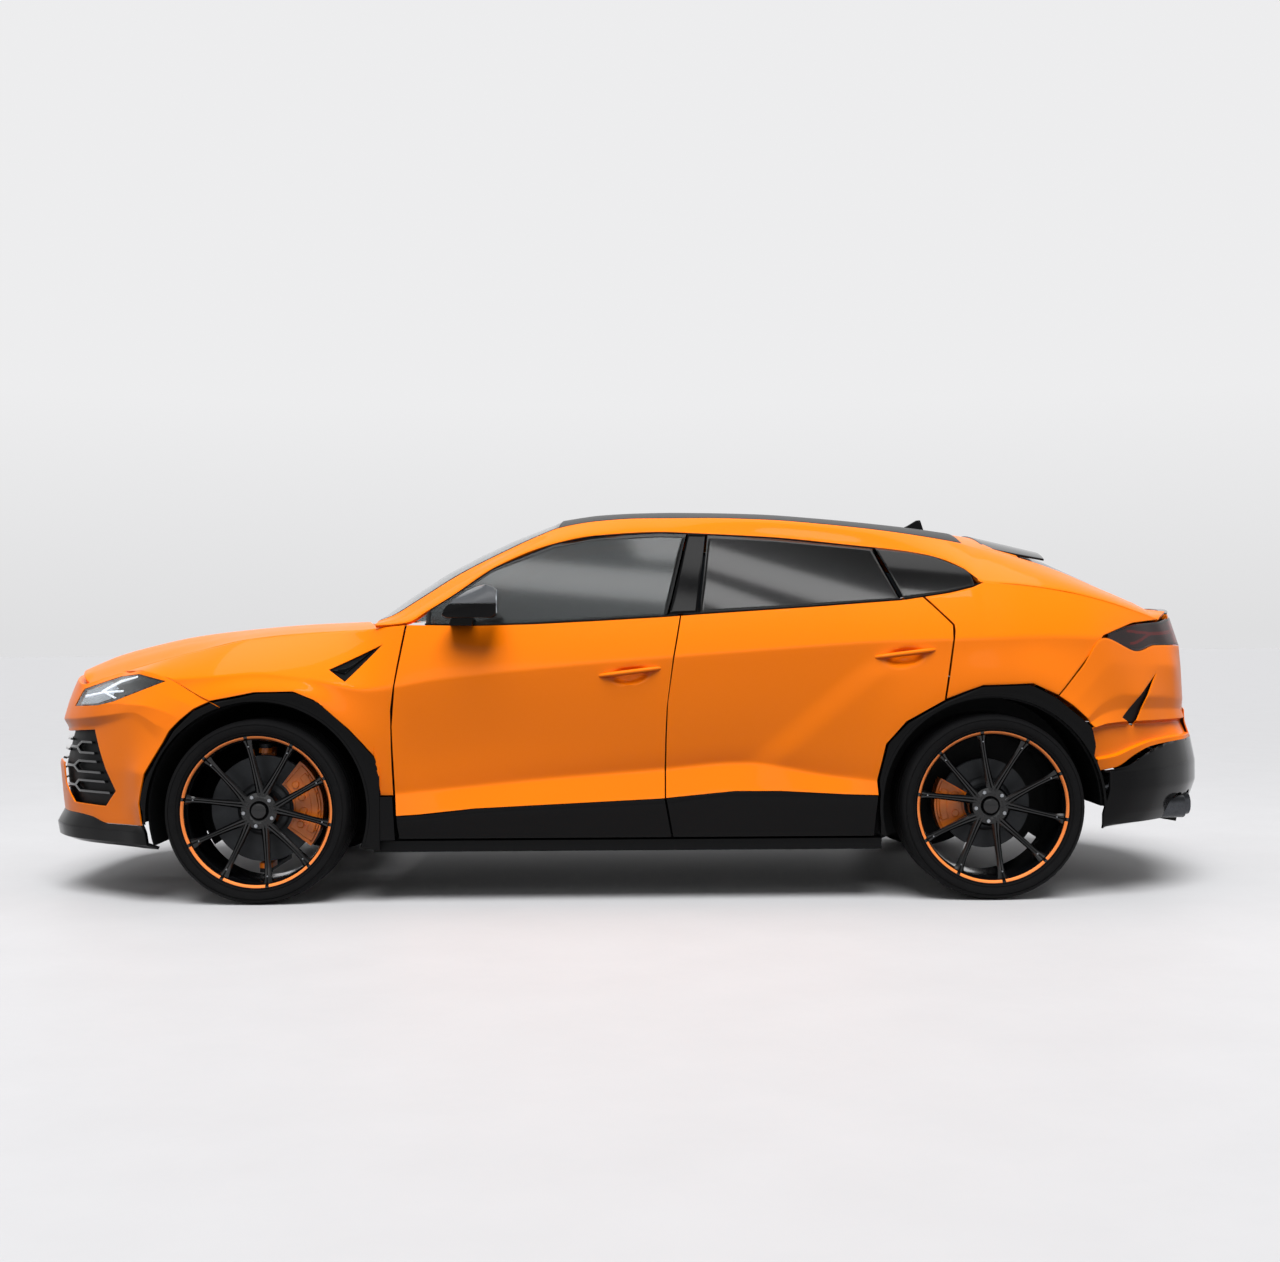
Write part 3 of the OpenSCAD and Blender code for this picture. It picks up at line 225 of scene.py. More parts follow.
tyreRubber = tyreFinish()
glassDark = glassFinish("tinted_glass", "16181a", 0.1)
glassFront = glassFinish("side_glass", "3c4446", 0.11)
glassScreen = glassFinish("screen_glass", "98a5a8")
lampClear = glassFinish("clear_lens", "f2f5f6")
lampRed = glassFinish("red_lens", "7a0d10")
lampWhite = lampGlow("white_light", "f4f7ff", 0.6)
lampTail = lampGlow("red_light", "e04a48", 0.45)
carbon = weave("woven_gloss_black")
finBlack = plain("fin_gloss_black", "08090a", "0c0d0e", 0.1, 0.16, coat=1.0, coatRough=0.05)
print("materials made")


# Mesh helpers

def smoothLine(points, column=1):
    xs = [p[0] for p in points]
    ys = [p[column] for p in points]
    n = len(xs)
    steps = [(ys[i + 1] - ys[i]) / (xs[i + 1] - xs[i]) for i in range(n - 1)]
    slopes = [0.0] * n
    slopes[0], slopes[-1] = steps[0], steps[-1]
    for i in range(1, n - 1):
        if steps[i - 1] * steps[i] > 0:
            a, b = xs[i] - xs[i - 1], xs[i + 1] - xs[i]
            slopes[i] = 3 * (a + b) / ((2 * b + a) / steps[i - 1] + (b + 2 * a) / steps[i])

    def at(x):
        if x <= xs[0]:
            return ys[0]
        if x >= xs[-1]:
            return ys[-1]
        i = 0
        while xs[i + 1] < x:
            i += 1
        h = xs[i + 1] - xs[i]
        t = (x - xs[i]) / h
        return (ys[i] * (1 + 2 * t) * (1 - t) ** 2 + ys[i + 1] * t * t * (3 - 2 * t)
                + slopes[i] * h * t * (1 - t) ** 2 + slopes[i + 1] * h * t * t * (t - 1))
    return at


def lerp(a, b, f):
    if isinstance(a, (tuple, list)):
        return tuple(lerp(i, j, f) for i, j in zip(a, b))
    return a + (b - a) * f


def broken(points):
    def at(x):
        if x <= points[0][0]:
            return points[0][1]
        for (x0, y0), (x1, y1) in zip(points, points[1:]):
            if x <= x1:
                return y0 + (y1 - y0) * (x - x0) / (x1 - x0)
        return points[-1][1]
    return at


def along(points, f):
    k = max(0.0, min(1.0, f)) * (len(points) - 1)
    i = min(int(k), len(points) - 2)
    return lerp(points[i], points[i + 1], k - i)


def ease(f):
    f = max(0.0, min(1.0, f))
    return f * f * (3 - 2 * f)


def grid(across, up, place):
    bm = bmesh.new()
    bmesh.ops.create_grid(bm, x_segments=across, y_segments=up, size=0.5)
    for v in bm.verts:
        v.co = place(v.co.x + 0.5, v.co.y + 0.5)
    return bm


def inside(point, outline):
    hit = False
    x, y = point
    for (x0, y0), (x1, y1) in zip(outline, outline[1:] + outline[:1]):
        if (y0 > y) != (y1 > y) and x < x0 + (y - y0) / (y1 - y0) * (x1 - x0):
            hit = not hit
    return hit


# Splits the faces along an outline seen down one axis; keep is "out" to open a hole, "in" to keep the middle
def cut(bm, outline, view, keep="out", side=None):
    a, b = {"y": (0, 2), "x": (1, 2), "z": (0, 1)}[view]
    pad = 30
    lo = [min(p[i] for p in outline) - pad for i in (0, 1)]
    hi = [max(p[i] for p in outline) + pad for i in (0, 1)]

    def near(f):
        c = f.calc_center_median()
        return (lo[0] < c[a] < hi[0] and lo[1] < c[b] < hi[1]) and (side is None or side(c))
    for p, q in zip(outline, outline[1:] + outline[:1]):
        faces = [f for f in bm.faces if near(f)]
        if not faces:
            return
        parts = list({e for f in faces for e in f.edges} | {v for f in faces for v in f.verts} | set(faces))
        normal = [0, 0, 0]
        normal[a], normal[b] = q[1] - p[1], p[0] - q[0]
        spot = [0, 0, 0]
        spot[a], spot[b] = p[0], p[1]
        bmesh.ops.bisect_plane(bm, geom=parts, plane_co=spot, plane_no=Vector(normal).normalized(),
                               dist=0.01)
    gone = []
    for f in bm.faces:
        c = f.calc_center_median()
        within = near(f) and inside((c[a], c[b]), outline)
        if within == (keep == "out"):
            gone.append(f)
    bmesh.ops.delete(bm, geom=gone, context="FACES")


# Closes every open rim with one face
def capped(bm):
    bmesh.ops.holes_fill(bm, edges=[e for e in bm.edges if e.is_boundary], sides=0)
    return bm


# Lays a surface given as place, half width and height over the left half
def onLeft(at):
    def place(u, v):
        x, w, z = at(u, v)
        return Vector((x, -w, z))
    return place


# The same over both halves, from the left end past the middle to the right end
def overBoth(at):
    def place(u, v):
        x, w, z = at(abs(2 * u - 1), v)
        return Vector((x, -w if u < 0.5 else w, z))
    return place


def flipped(bm):
    for v in bm.verts:
        v.co.y = -v.co.y
    bmesh.ops.reverse_faces(bm, faces=bm.faces)
    return bm


def block(bm, low, high, bevel=0.0):
    size = Vector(high) - Vector(low)
    middle = Matrix.Translation((Vector(low) + Vector(high)) / 2)
    made = bmesh.ops.create_cube(bm, size=1, matrix=middle @ Matrix.Diagonal((*size, 1)))
    if bevel:
        edges = list({e for v in made["verts"] for e in v.link_edges})
        bmesh.ops.bevel(bm, geom=edges, offset=bevel, segments=3, profile=0.5, affect="EDGES", material=-1,
                        clamp_overlap=True)


def prism(bm, points, start, end, axis="y"):
    i, j, k = {"y": (0, 2, 1), "x": (1, 2, 0), "z": (0, 1, 2)}[axis]
    ring = []
    for p in points:
        co = [0, 0, 0]
        co[i], co[j], co[k] = p[0], p[1], start
        ring.append(bm.verts.new(co))
    face = bm.faces.new(ring)
    made = bmesh.ops.extrude_face_region(bm, geom=[face])
    shift = [0, 0, 0]
    shift[k] = end - start
    bmesh.ops.translate(bm, verts=[v for v in made["geom"] if isinstance(v, bmesh.types.BMVert)], vec=shift)


def finish(name, bm, material, body, replaced=(), thick=0.0, bevel=0.0, bevelSteps=2, sharp=32, soft=True,
           more=()):
    bmesh.ops.recalc_face_normals(bm, faces=bm.faces)
    bmesh.ops.scale(bm, vec=(mm, mm, mm), verts=bm.verts)
    mesh = bpy.data.meshes.new(name)
    bm.to_mesh(mesh)
    bm.free()
    obj = bpy.data.objects.new(name, mesh)
    bpy.context.collection.objects.link(obj)
    for m in (material, *more):
        mesh.materials.append(m)
    for f in mesh.polygons:
        f.use_smooth = soft
    if soft:
        mesh.set_sharp_from_angle(angle=math.radians(sharp))
    if thick:
        wall = obj.modifiers.new("wall", "SOLIDIFY")
        wall.thickness = abs(thick) * mm
        wall.offset = -1 if thick > 0 else 1
        wall.use_even_offset = False
    if bevel:
        edge = obj.modifiers.new("edge", "BEVEL")
        edge.width = bevel * mm
        edge.segments = bevelSteps
        edge.limit_method = "ANGLE"
        edge.angle_limit = math.radians(38)
        edge.use_clamp_overlap = True
    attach(obj, body)
    if replaced:
        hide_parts(*replaced)
    return obj


# Feature lines of the body side as place along the car, height and half width, in millimetres

sideLines = {
    "sill": [(-1067, 352, 980), (-860, 364, 980), (-634, 387, 982), (121, 422, 982), (426, 451, 983),
             (613, 450, 984), (879, 435, 985), (1026, 430, 986)],
    "blade": [(-1067, 439, 962), (-793, 462, 944), (-310, 506, 936), (121, 539, 935), (441, 564, 936),
              (830, 509, 946), (1033, 487, 968)],
    "waist": [(-1871, 718, 980), (-1788, 798, 985), (-1706, 832, 990), (-1528, 868, 995), (-1367, 868, 995),
              (-1271, 827, 995), (-1144, 714, 990), (-1033, 640, 976), (-950, 620, 962), (-861, 600, 953),
              (-600, 650, 951), (0, 680, 954), (458, 690, 955), (700, 700, 960), (900, 700, 968),
              (1033, 690, 982), (1125, 729, 996), (1281, 822, 1003), (1435, 874, 1008), (1637, 880, 1008),
              (1746, 825, 1005), (1889, 707, 990)],
    "crease": [(-2160, 938, 735), (-2045, 950, 800), (-1903, 920, 880), (-1788, 925, 915),
               (-1700, 930, 935), (-1528, 940, 945), (-1300, 915, 958), (-1065, 873, 972), (-794, 912, 971),
               (-308, 961, 970), (125, 994, 970), (586, 1027, 973), (836, 1044, 977), (1022, 1055, 981),
               (1300, 1062, 985), (1500, 1068, 984), (1700, 1072, 966), (1900, 1066, 922),
               (2050, 1060, 850), (2228, 1050, 735)],
    "belt": [(-2340, 893, 622), (-2162, 946, 672), (-1968, 998, 712), (-1857, 1026, 722),
             (-1624, 1081, 727), (-1396, 1105, 722), (-1227, 1114, 738), (-1100, 1120, 790),
             (-1000, 1130, 845), (-917, 1137, 875), (-637, 1131, 895), (-393, 1136, 900), (-121, 1148, 900),
             (127, 1161, 900), (277, 1171, 900), (750, 1199, 900), (1131, 1225, 890), (1308, 1251, 872),
             (1424, 1278, 852), (1467, 1290, 838), (1600, 1285, 835), (1800, 1258, 815), (2000, 1212, 775),
             (2150, 1165, 730), (2250, 1132, 688)],
    "glassTop": [(-1060, 1136, 830), (-990, 1139, 850), (-918, 1148, 868), (-842, 1194, 845),
                 (-743, 1256, 818), (-566, 1379, 755), (-319, 1480, 700), (-151, 1514, 680),
                 (132, 1529, 665), (286, 1522, 664), (615, 1503, 660), (941, 1468, 665), (1185, 1438, 675),
                 (1296, 1414, 692), (1412, 1358, 760), (1469, 1300, 830), (1600, 1291, 834),
                 (1800, 1264, 814), (2000, 1218, 774), (2150, 1171, 729), (2250, 1138, 687)],
    "railTop": [(-1060, 1154, 765), (-990, 1180, 772), (-884, 1246, 745), (-720, 1352, 695),
                (-554, 1440, 650), (-384, 1520, 620), (-299, 1553, 610), (-127, 1582, 603), (48, 1592, 600),
                (312, 1592, 598), (576, 1584, 598), (840, 1562, 598), (1100, 1532, 596), (1290, 1503, 590),
                (1440, 1476, 572), (1500, 1462, 557), (1724, 1402, 557), (1864, 1352, 557),
                (2028, 1280, 557), (2160, 1222, 557), (2250, 1176, 557)],
    "doorWaist": [(-980, 635, 0), (-861, 600, 0), (-600, 650, 0), (0, 680, 0), (458, 690, 0),
                  (1033, 640, 0)],
}
zOf = {name: broken([(p[0], p[1]) for p in points]) for name, points in sideLines.items()}
wOf = {name: smoothLine(points, 2) for name, points in sideLines.items()}
zSoft = {name: smoothLine(points, 1) for name, points in sideLines.items()}
sectionAt = {}


def section(x):
    key = round(x, 1)
    if key not in sectionAt:
        knots = [(150, 930), (262, 952), (zSoft["sill"](x) - 26, wOf["sill"](x) + 3)]
        knots += [(zSoft[n](x), wOf[n](x)) for n in ("sill", "blade", "waist", "crease", "belt")]
        sectionAt[key] = knots
    return sectionAt[key]


# Height and half width run straight below the lower fold and as soft curves between the folds above it
def bare(x, z):
    knots = section(x)
    if z <= knots[0][0]:
        return knots[0][1]
    if z >= knots[-1][0]:
        (z0, w0), (z1, w1) = knots[-2], knots[-1]
        return w1 + (z - z1) * (w1 - w0) / (z1 - z0)
    i = max(k for k in range(len(knots) - 1) if knots[k][0] <= z)
    (z0, w0), (z1, w1) = knots[i], knots[i + 1]
    h = z1 - z0
    t = (z - z0) / h
    mean = (w1 - w0) / h
    if i < 4:
        return lerp(w0, w1, t)
    if i == 4:
        below = mean * 1.8
    elif i == 6:
        below = mean * 0.75
    else:
        below = 0.5 * (mean + (w0 - knots[i - 1][1]) / (z0 - knots[i - 1][0]))
    if i == 5:
        above = mean * 0.4
    elif i == 6:
        above = mean * 1.25
    else:
        above = 0.5 * (mean + (knots[i + 2][1] - w1) / (knots[i + 2][0] - z1))
    return (w0 * (1 + 2 * t) * (1 - t) ** 2 + w1 * t * t * (3 - 2 * t) + below * h * t * (1 - t) ** 2
            + above * h * t * t * (t - 1))


# The raised plane below a slanting fold on each rear door
def haunch(x, z):
    if not 380 < x < 1320:
        return 0.0
    low, high = zOf["blade"](x), zOf["crease"](x)
    z = max(z, low) if z > low - 1 else z
    off = ((x - 458) * 481 - (max(z, low) - 574) * 564) / 741
    fade = ease((high - z) / 150) * ease((1300 - x) / 260)
    if z < low:
        fade *= max(0.0, 1 - (low - z) / 90)
    return 11.0 * fade * ease(off / 120)


def sideW(x, z):
    return 0.25 * bare(x, z - 5) + 0.5 * bare(x, z) + 0.25 * bare(x, z + 5) + haunch(x, z)


def coons(bottom, top, left, right):
    def at(u, v):
        b, t, l, r = along(bottom, u), along(top, u), along(left, v), along(right, v)
        b0, b1, t0, t1 = bottom[0], bottom[-1], top[0], top[-1]
        return tuple(lerp(b[i], t[i], v) + lerp(l[i], r[i], u)
                     - lerp(lerp(b0[i], b1[i], u), lerp(t0[i], t1[i], u), v) for i in (0, 1))
    return at


def onSide(at):
    def place(u, v):
        x, z = at(u, v)
        return Vector((x, -sideW(x, z), z))
    return place


# Closes a sheet into a panel: its rim goes back and an inner face closes it
def closeBack(bm, back):
    rim = [e for e in bm.edges if e.is_boundary]
    made = bmesh.ops.extrude_edge_only(bm, edges=rim)["geom"]
    moved = [v for v in made if isinstance(v, bmesh.types.BMVert)]
    for v in moved:
        v.co = back(v.co)
    capped(bm)


# Makes a piece and its mirror image; a star in the body's or the replaced node's name stands for the side
def bothSides(name, make, material, body="body", replaced="", **more):
    for side in ("left", "right"):
        bm = make()
        if side == "right":
            flipped(bm)
        nodes = (replaced.replace("*", side),) if replaced else ()
        finish(f"{name}_{side}", bm, material, body.replace("*", side), nodes, **more)


# Doors

doorEdges = {
    "front": [("sill", -957, 143, 0), ("blade", -964, 144, 0), ("doorWaist", -972, 148, 0),
              (0.35, -975, 154, 0), ("crease", -962, 181, 0), ("belt", -923, 212, 0)],
    "rear": [("sill", 143, 1012, 0), ("blade", 144, 1008, 0), ("doorWaist", 148, 1044, 0),
             (0.22, 151, 1125, 0), (0.42, 154, 1281, 0), ("crease", 181, 1322, 0), ("upper", 191, 1326, 0),
             ("belt", 212, 1216, 0)],
}
doorSet = {"gap": 6, "depth": 88, "cells": (104, 84)}


def edgeZ(kind, x):
    if kind == "upper":
        return lerp(zOf["crease"](x), zOf["belt"](x), 0.3)
    if isinstance(kind, str):
        return zOf[kind](x)
    return lerp(zOf["doorWaist"](x), zOf["crease"](x), kind)


def doorPlace(which):
    rows = doorEdges[which]
    spans = [abs(edgeZ(rows[i + 1][0], 400) - edgeZ(rows[i][0], 400)) for i in range(len(rows) - 1)]
    cells = doorSet["cells"][1]
    marks = [round(sum(spans[:i]) / sum(spans) * cells) / cells for i in range(len(rows))]

    def place(u, v):
        i = max(k for k in range(len(rows) - 1) if v >= marks[k] - 1e-9)
        f = min(1.0, (v - marks[i]) / (marks[i + 1] - marks[i]))
        a, b = rows[i], rows[i + 1]
        x = lerp(lerp(a[1], b[1], f) + doorSet["gap"] / 2, lerp(a[2], b[2], f) - doorSet["gap"] / 2, u)
        z = lerp(edgeZ(a[0], x), edgeZ(b[0], x), f) + (1 if v == 0 else 0)
        return Vector((x, -sideW(x, z), z))
    return place


# Middle of each pull along the car, its height and its half length
handleSet = {"front": (2, 938, 132), "rear": (1122, 1006, 128)}
cupSet = {"tilt": -7, "drop": 14, "across": 92, "up": 40, "deep": 19, "edge": 1.8}
barSet = {"deep": 11, "rise": 10.5, "slope": 0.118, "stand": 13}


def handleCup(bm, which):
    x0, z0, _ = handleSet[which]
    tilt = math.radians(cupSet["tilt"])
    for v in bm.verts:
        dx, dz = v.co.x - x0, v.co.z - z0 + cupSet["drop"]
        a = dx * math.cos(tilt) - dz * math.sin(tilt)
        b = dx * math.sin(tilt) + dz * math.cos(tilt)
        r = math.hypot(a / cupSet["across"], b / cupSet["up"])
        v.co.y += cupSet["deep"] * ease((1 - r) * cupSet["edge"])


# The pull across each cup, a slim bar that dips towards the skin at both ends
def handleBar(which):
    x0, z0, half = handleSet[which]

    def place(u, v):
        s = 2 * u - 1
        turn = math.tau * v
        deep = barSet["deep"] * (1 - abs(s) ** 5) + 3
        rise = barSet["rise"] * (1 - 0.45 * abs(s) ** 4) * (1 if abs(s) < 0.995 else 0.6)
        x = x0 + s * half
        z = z0 + barSet["slope"] * (x - x0) + math.sin(turn) * rise
        y = -sideW(x, z0) - barSet["stand"] * (1 - abs(s) ** 4) - math.cos(turn) * deep * 0.8 + 5
        return Vector((x, y, z))
    bm = grid(40, 20, place)
    bmesh.ops.remove_doubles(bm, verts=bm.verts, dist=0.01)
    return capped(bm)


def doorShell(which):
    across, up = doorSet["cells"]
    bm = grid(across, up, doorPlace(which))
    handleCup(bm, which)

    def back(co):
        last = 14 if co.x > 100 + (900 if which == "rear" else 0) else 0
        return Vector((co.x - last, co.y + doorSet["depth"], co.z))
    closeBack(bm, back)
    for f in bm.faces:
        c = f.calc_center_median()
        if c.y > -sideW(c.x, c.z) + doorSet["depth"] - 30:
            f.material_index = 1
    return bm


for which in ("front", "rear"):
    bothSides(f"door_skin_{which}", lambda: doorShell(which), paint, f"door_{which}_*", f"door_{which}_*",
              bevel=2.2, more=(darkPlastic,))
    bothSides(f"door_handle_{which}", lambda: handleBar(which), paint, f"door_{which}_*")


def sillPart(which):
    x0, x1 = ((-951, -957), (171, 143)) if which == "front" else ((171, 143), (1000, 1012))

    def place(u, v):
        a, b = lerp(x0[0], x0[1], v) + 3, lerp(x1[0], x1[1], v) - 3
        x = lerp(a, b, u)
        z = lerp(262, zOf["sill"](x) - 1, v)
        return Vector((x, -sideW(x, z), z))
    bm = grid(60, 12, place)

    def back(co):
        return Vector((co.x - (12 if co.x > (100 if which == "front" else 900) else 0), co.y + 66, co.z))
    closeBack(bm, back)
    return bm


for which in ("front", "rear"):
    bothSides(f"sill_blade_{which}", lambda: sillPart(which), glossBlack, f"door_{which}_*",
              f"cladding_{which}_*", bevel=3)
print("doors made")


# Front wings

def wingSheet():
    bottom = [(-1711, 834), (-1620, 850), (-1528, 868), (-1448, 869), (-1367, 870), (-1271, 829),
              (-1208, 772), (-1144, 716), (-1088, 655), (-1033, 592), (-1021, 540), (-1020, 442),
              (-970, 442)]
    top = [(lerp(-2158, -930, i / 22), 0) for i in range(23)]
    top = [(x, zOf["belt"](x) + (4 if i == 0 else 0)) for i, (x, _) in enumerate(top)]
    left = [(-1711, 834), (-1797, 872), (-1900, 922), (-2042, 955), (-2158, 950)]
    right = [(-970, 442), (-976, 615), (-978, 789), (-956, 962), (-930, 1136)]
    bm = grid(130, 46, onSide(coons(bottom, top, left, right)))
    cut(bm, ventShape, "y")
    return bm


# Black outlet behind each front wheel, with a slanting fin in it
ventShape = [(-1237, 955), (-1164, 906), (-1020, 1058)]


def ventPart(outline, deep):
    def make():
        def place(u, v):
            x, z = lerp(-1245, -1012, u), lerp(900, 1064, v)
            return Vector((x, -sideW(x, z) + deep, z))
        bm = grid(30, 24, place)
        cut(bm, outline, "y", "in")
        return bm
    return make


bothSides("wing_vent", ventPart([(-1236, 955), (-1164, 907), (-1021, 1057)], 8), satinBlack, thick=6)
bothSides("wing_vent_fin", ventPart([(-1222, 951), (-1170, 938), (-1060, 1034), (-1158, 962)], 2),
          glossBlack, thick=8, bevel=1)
bothSides("wing_skin", wingSheet, paint, replaced="front_wings", thick=4, bevel=1.6)


# Part of a ring of sheet round a wheel
def ringPart(bm, x, z, r0, r1, w0, w1, a0, a1, steps=48):
    profile = [(r0, w0), (r1, w0), (r1, w1), (r0, w1)]
    start = math.radians(a0)
    verts = [bm.verts.new((x + r * math.cos(start), -w, z + r * math.sin(start))) for r, w in profile]
    edges = [bm.edges.new((verts[i], verts[(i + 1) % 4])) for i in range(4)]
    bmesh.ops.spin(bm, geom=verts + edges, cent=(x, 0, z), axis=(0, -1, 0), angle=math.radians(a1 - a0),
                   steps=steps)
    ends = [e for e in bm.edges if e.is_boundary]
    bmesh.ops.holes_fill(bm, edges=ends, sides=4)


wheelAt = {}
for corner in ("front_left", "rear_left"):
    lo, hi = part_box(f"tyre_{corner}")
    wheelAt[corner] = ((lo[0] + hi[0]) / 2 / mm, (lo[1] + hi[1]) / 2 / mm, (lo[2] + hi[2]) / 2 / mm)
axleF, axleR, axleZ = wheelAt["front_left"][0], wheelAt["rear_left"][0], wheelAt["front_left"][2]
archR = axleZ + 66


# Dark inner wall of a wheel well, part real well and part a sheet that stands in for the shade behind the
# wheel: one big sector, then two shorter ones further down at each end, in degrees
wellShadeSet = {"from": -22, "to": 202, "step": 11, "reach": (352, 262)}


def wellWallAndShade(bm, x, inner, w0, w1):
    low, high, step = wellShadeSet["from"], wellShadeSet["to"], wellShadeSet["step"]
    ringPart(bm, x, axleZ, inner, archR + 3, w0, w1, low, high)
    for k, reach in enumerate(wellShadeSet["reach"]):
        for a in (low - step * (k + 1), high + step * k):
            ringPart(bm, x, axleZ, inner, reach, w0, w1, a, a + step, 6)


def frontLiner():
    bm = bmesh.new()
    ringPart(bm, axleF, axleZ, archR, archR + 7, 495, 939.5, -20, 198)
    # Dark wall behind the front wheel, a sheet that stands in for the shade there
    wellWallAndShade(bm, axleF, 60, 493, 501)
    ringPart(bm, axleF, axleZ, archR + 3, 526, 932, 938.5, 62, 108, 16)
    ringPart(bm, axleF, axleZ, 517, 524, 934, 962, 63, 107, 16)
    return bm


bothSides("wheel_liner_front", frontLiner, linerFelt)


# Body sides behind the doors, with the roof rails and pillars

def quarterSheet():
    bottom = [(1287, 822), (1360, 850), (1435, 876), (1500, 877), (1570, 879), (1637, 882), (1740, 834)]
    top = [(1224, 1239), (1330, 1255), (1424, 1277), (1480, 1300), (1700, 1280), (1950, 1233), (2250, 1140)]
    left = [(1287, 822), (1310, 960), (1332, 1100), (1331, 1124), (1224, 1239)]
    right = [(1740, 834), (1850, 955), (1957, 1075), (2110, 1126), (2250, 1140)]
    return grid(84, 46, onSide(coons(bottom, top, left, right)))


bothSides("quarter_skin", quarterSheet, paint, replaced="side_frame_*", thick=4, bevel=1.6)


def railSheet():
    def place(u, v):
        x = lerp(-1060, 2250, u)
        z0, z1 = zSoft["glassTop"](x), zSoft["railTop"](x)
        w0, w1 = wOf["glassTop"](x), wOf["railTop"](x)
        span = math.hypot(w0 - w1, z1 - z0)
        rear = ease((x - 1250) / 350)
        t0 = Vector((-lerp(0.62, 0.80, rear), lerp(0.78, 0.60, rear))).normalized() * span
        t1 = Vector((-lerp(0.80, 0.95, rear), lerp(0.60, 0.30, rear))).normalized() * span
        h00, h10 = (1 + 2 * v) * (1 - v) ** 2, v * (1 - v) ** 2
        h01, h11 = v * v * (3 - 2 * v), v * v * (v - 1)
        w = h00 * w0 + h10 * t0.x + h01 * w1 + h11 * t1.x
        z = h00 * z0 + h10 * t0.y + h01 * z1 + h11 * t1.y
        return Vector((x + (70 * v if x > 2240 else 0), -w, z))
    return grid(240, 16, place)


bothSides("roof_rail", railSheet, paint, replaced="side_frame_*", thick=16, bevel=2)


def pillars():
    bm = bmesh.new()
    block(bm, (-1055, -820, 240), (-986, -745, 1060), 6)
    block(bm, (-1055, -795, 1050), (-986, -745, 1114), 4)
    prism(bm, [(-690.5, 205), (-925, 205), (-925, 250), (-866, 256), (-862, 395), (-690.5, 395)], -1055,
          1030, "x")
    block(bm, (160, -798, 390), (272, -735, 1176), 5)
    block(bm, (178, -845, 1174), (270, -735, 1204), 4)
    ringPart(bm, axleR, axleZ, archR, archR + 7, 650, 954.5, 0, 195)
    # Dark wall behind the rear wheel, a sheet that stands in for the shade there
    wellWallAndShade(bm, axleR, 75, 648, 656)
    ringPart(bm, axleR, axleZ, archR + 3, 520, 947, 953.5, 63, 108, 16)
    ringPart(bm, axleR, axleZ, 511, 518, 949, 995, 82, 106, 12)
    return bm


bothSides("pillar_frame", pillars, satinBlack, replaced="side_frame_*", soft=False)


def centrePost():
    def place(u, v):
        low = lerp((166, 881, 1174), (281, 881, 1178), u)
        high = lerp((252, 664, 1521), (326, 663, 1519), u)
        p = lerp(low, high, v)
        return Vector((p[0], -p[1] - 7 * 4 * v * (1 - v) * 0.5, p[2]))
    return grid(8, 24, place)


bothSides("centre_post", centrePost, glossBlack, replaced="side_frame_*", thick=40, bevel=2)
print("sides made")


# Roof

def roofSheet():
    mid = smoothLine([(-299, 1617), (-127, 1640), (48, 1648), (180, 1650), (312, 1648), (576, 1640),
                      (840, 1620), (1100, 1594), (1290, 1572), (1440, 1551)])

    def place(u, v):
        x, s = lerp(-299, 1440, u), lerp(1, -1, v)
        return Vector((x, -s * (wOf["railTop"](x) - 0.5), lerp(mid(x), zSoft["railTop"](x), abs(s) ** 2.2)))
    return grid(70, 48, place)


finish("roof_skin", roofSheet(), roofBlack, "body", ("roof_panel",), thick=20, bevel=2)


def finShape():
    bm = bmesh.new()
    prism(bm, [(1256, 1572), (1300, 1592), (1340, 1616), (1360, 1618), (1378, 1562)], -7, 7)
    return bm


finish("antenna_fin", finShape(), roofBlack, "body", (), bevel=4, bevelSteps=3)


def roofLining():
    bm = roofSheet()
    bmesh.ops.translate(bm, verts=bm.verts, vec=(0, 0, -23))
    return bm


finish("roof_lining", roofLining(), headliner, "body", (), thick=2)

screenMid = [(-1153, 1156), (-1000, 1268), (-840, 1374), (-690, 1453), (-544, 1521), (-303, 1614)]


def screenSheet():
    def place(u, v):
        s = lerp(1, -1, v)
        m = along(screenMid, u)
        x = lerp(-1015, -303, u)
        w, z = wOf["railTop"](x) - 2, zSoft["railTop"](x)
        return Vector((lerp(m[0], x, s * s), -s * w, lerp(m[1], z, s * s)))
    return grid(40, 48, place)


finish("screen", screenSheet(), glassScreen, "body", ("fixed_glass",), thick=5)


def evenFit(points):
    rows = [([1, a, a * a, b, b * b, a * b], w) for a, b, w in points]
    n = 6
    table = [[sum(r[i] * r[j] for r, w in rows) for j in range(n)]
             + [sum(r[i] * w for r, w in rows)] for i in range(n)]
    for i in range(n):
        pivot = max(range(i, n), key=lambda k: abs(table[k][i]))
        table[i], table[pivot] = table[pivot], table[i]
        for k in range(n):
            if k != i:
                f = table[k][i] / table[i][i]
                table[k] = [p - f * q for p, q in zip(table[k], table[i])]
    c = [table[i][n] / table[i][i] for i in range(n)]
    return lambda a, b: c[0] + c[1] * a + c[2] * a * a + c[3] * b + c[4] * b * b + c[5] * a * b


def sideGlass(x0, x1, x2, x3, lift, topRoom, out):
    points = []
    for k in range(25):
        xb, xt = lerp(x0, x1, k / 24), lerp(x2, x3, k / 24)
        wb, wt, zb, zt = wOf["belt"](xb) - 18, wOf["glassTop"](xt) + out, zOf["belt"](xb), zOf["glassTop"](xt)
        points += [(lerp(xb, xt, v) / 1000, lerp(zb, zt, v) / 1000,
                    lerp(wb, wt, v) + 28 * v * (1 - v)) for v in (0, 0.5, 1)]
    even = evenFit(points)

    def place(u, v):
        xb, xt = lerp(x0, x1, u), lerp(x2, x3, u)
        zb, zt = zOf["belt"](xb) + lift, zOf["glassTop"](xt) - topRoom
        x, z = lerp(xb, xt, v), lerp(zb, zt, v)
        return Vector((x, -even(x / 1000, z / 1000), z))
    return grid(48, 20, place)


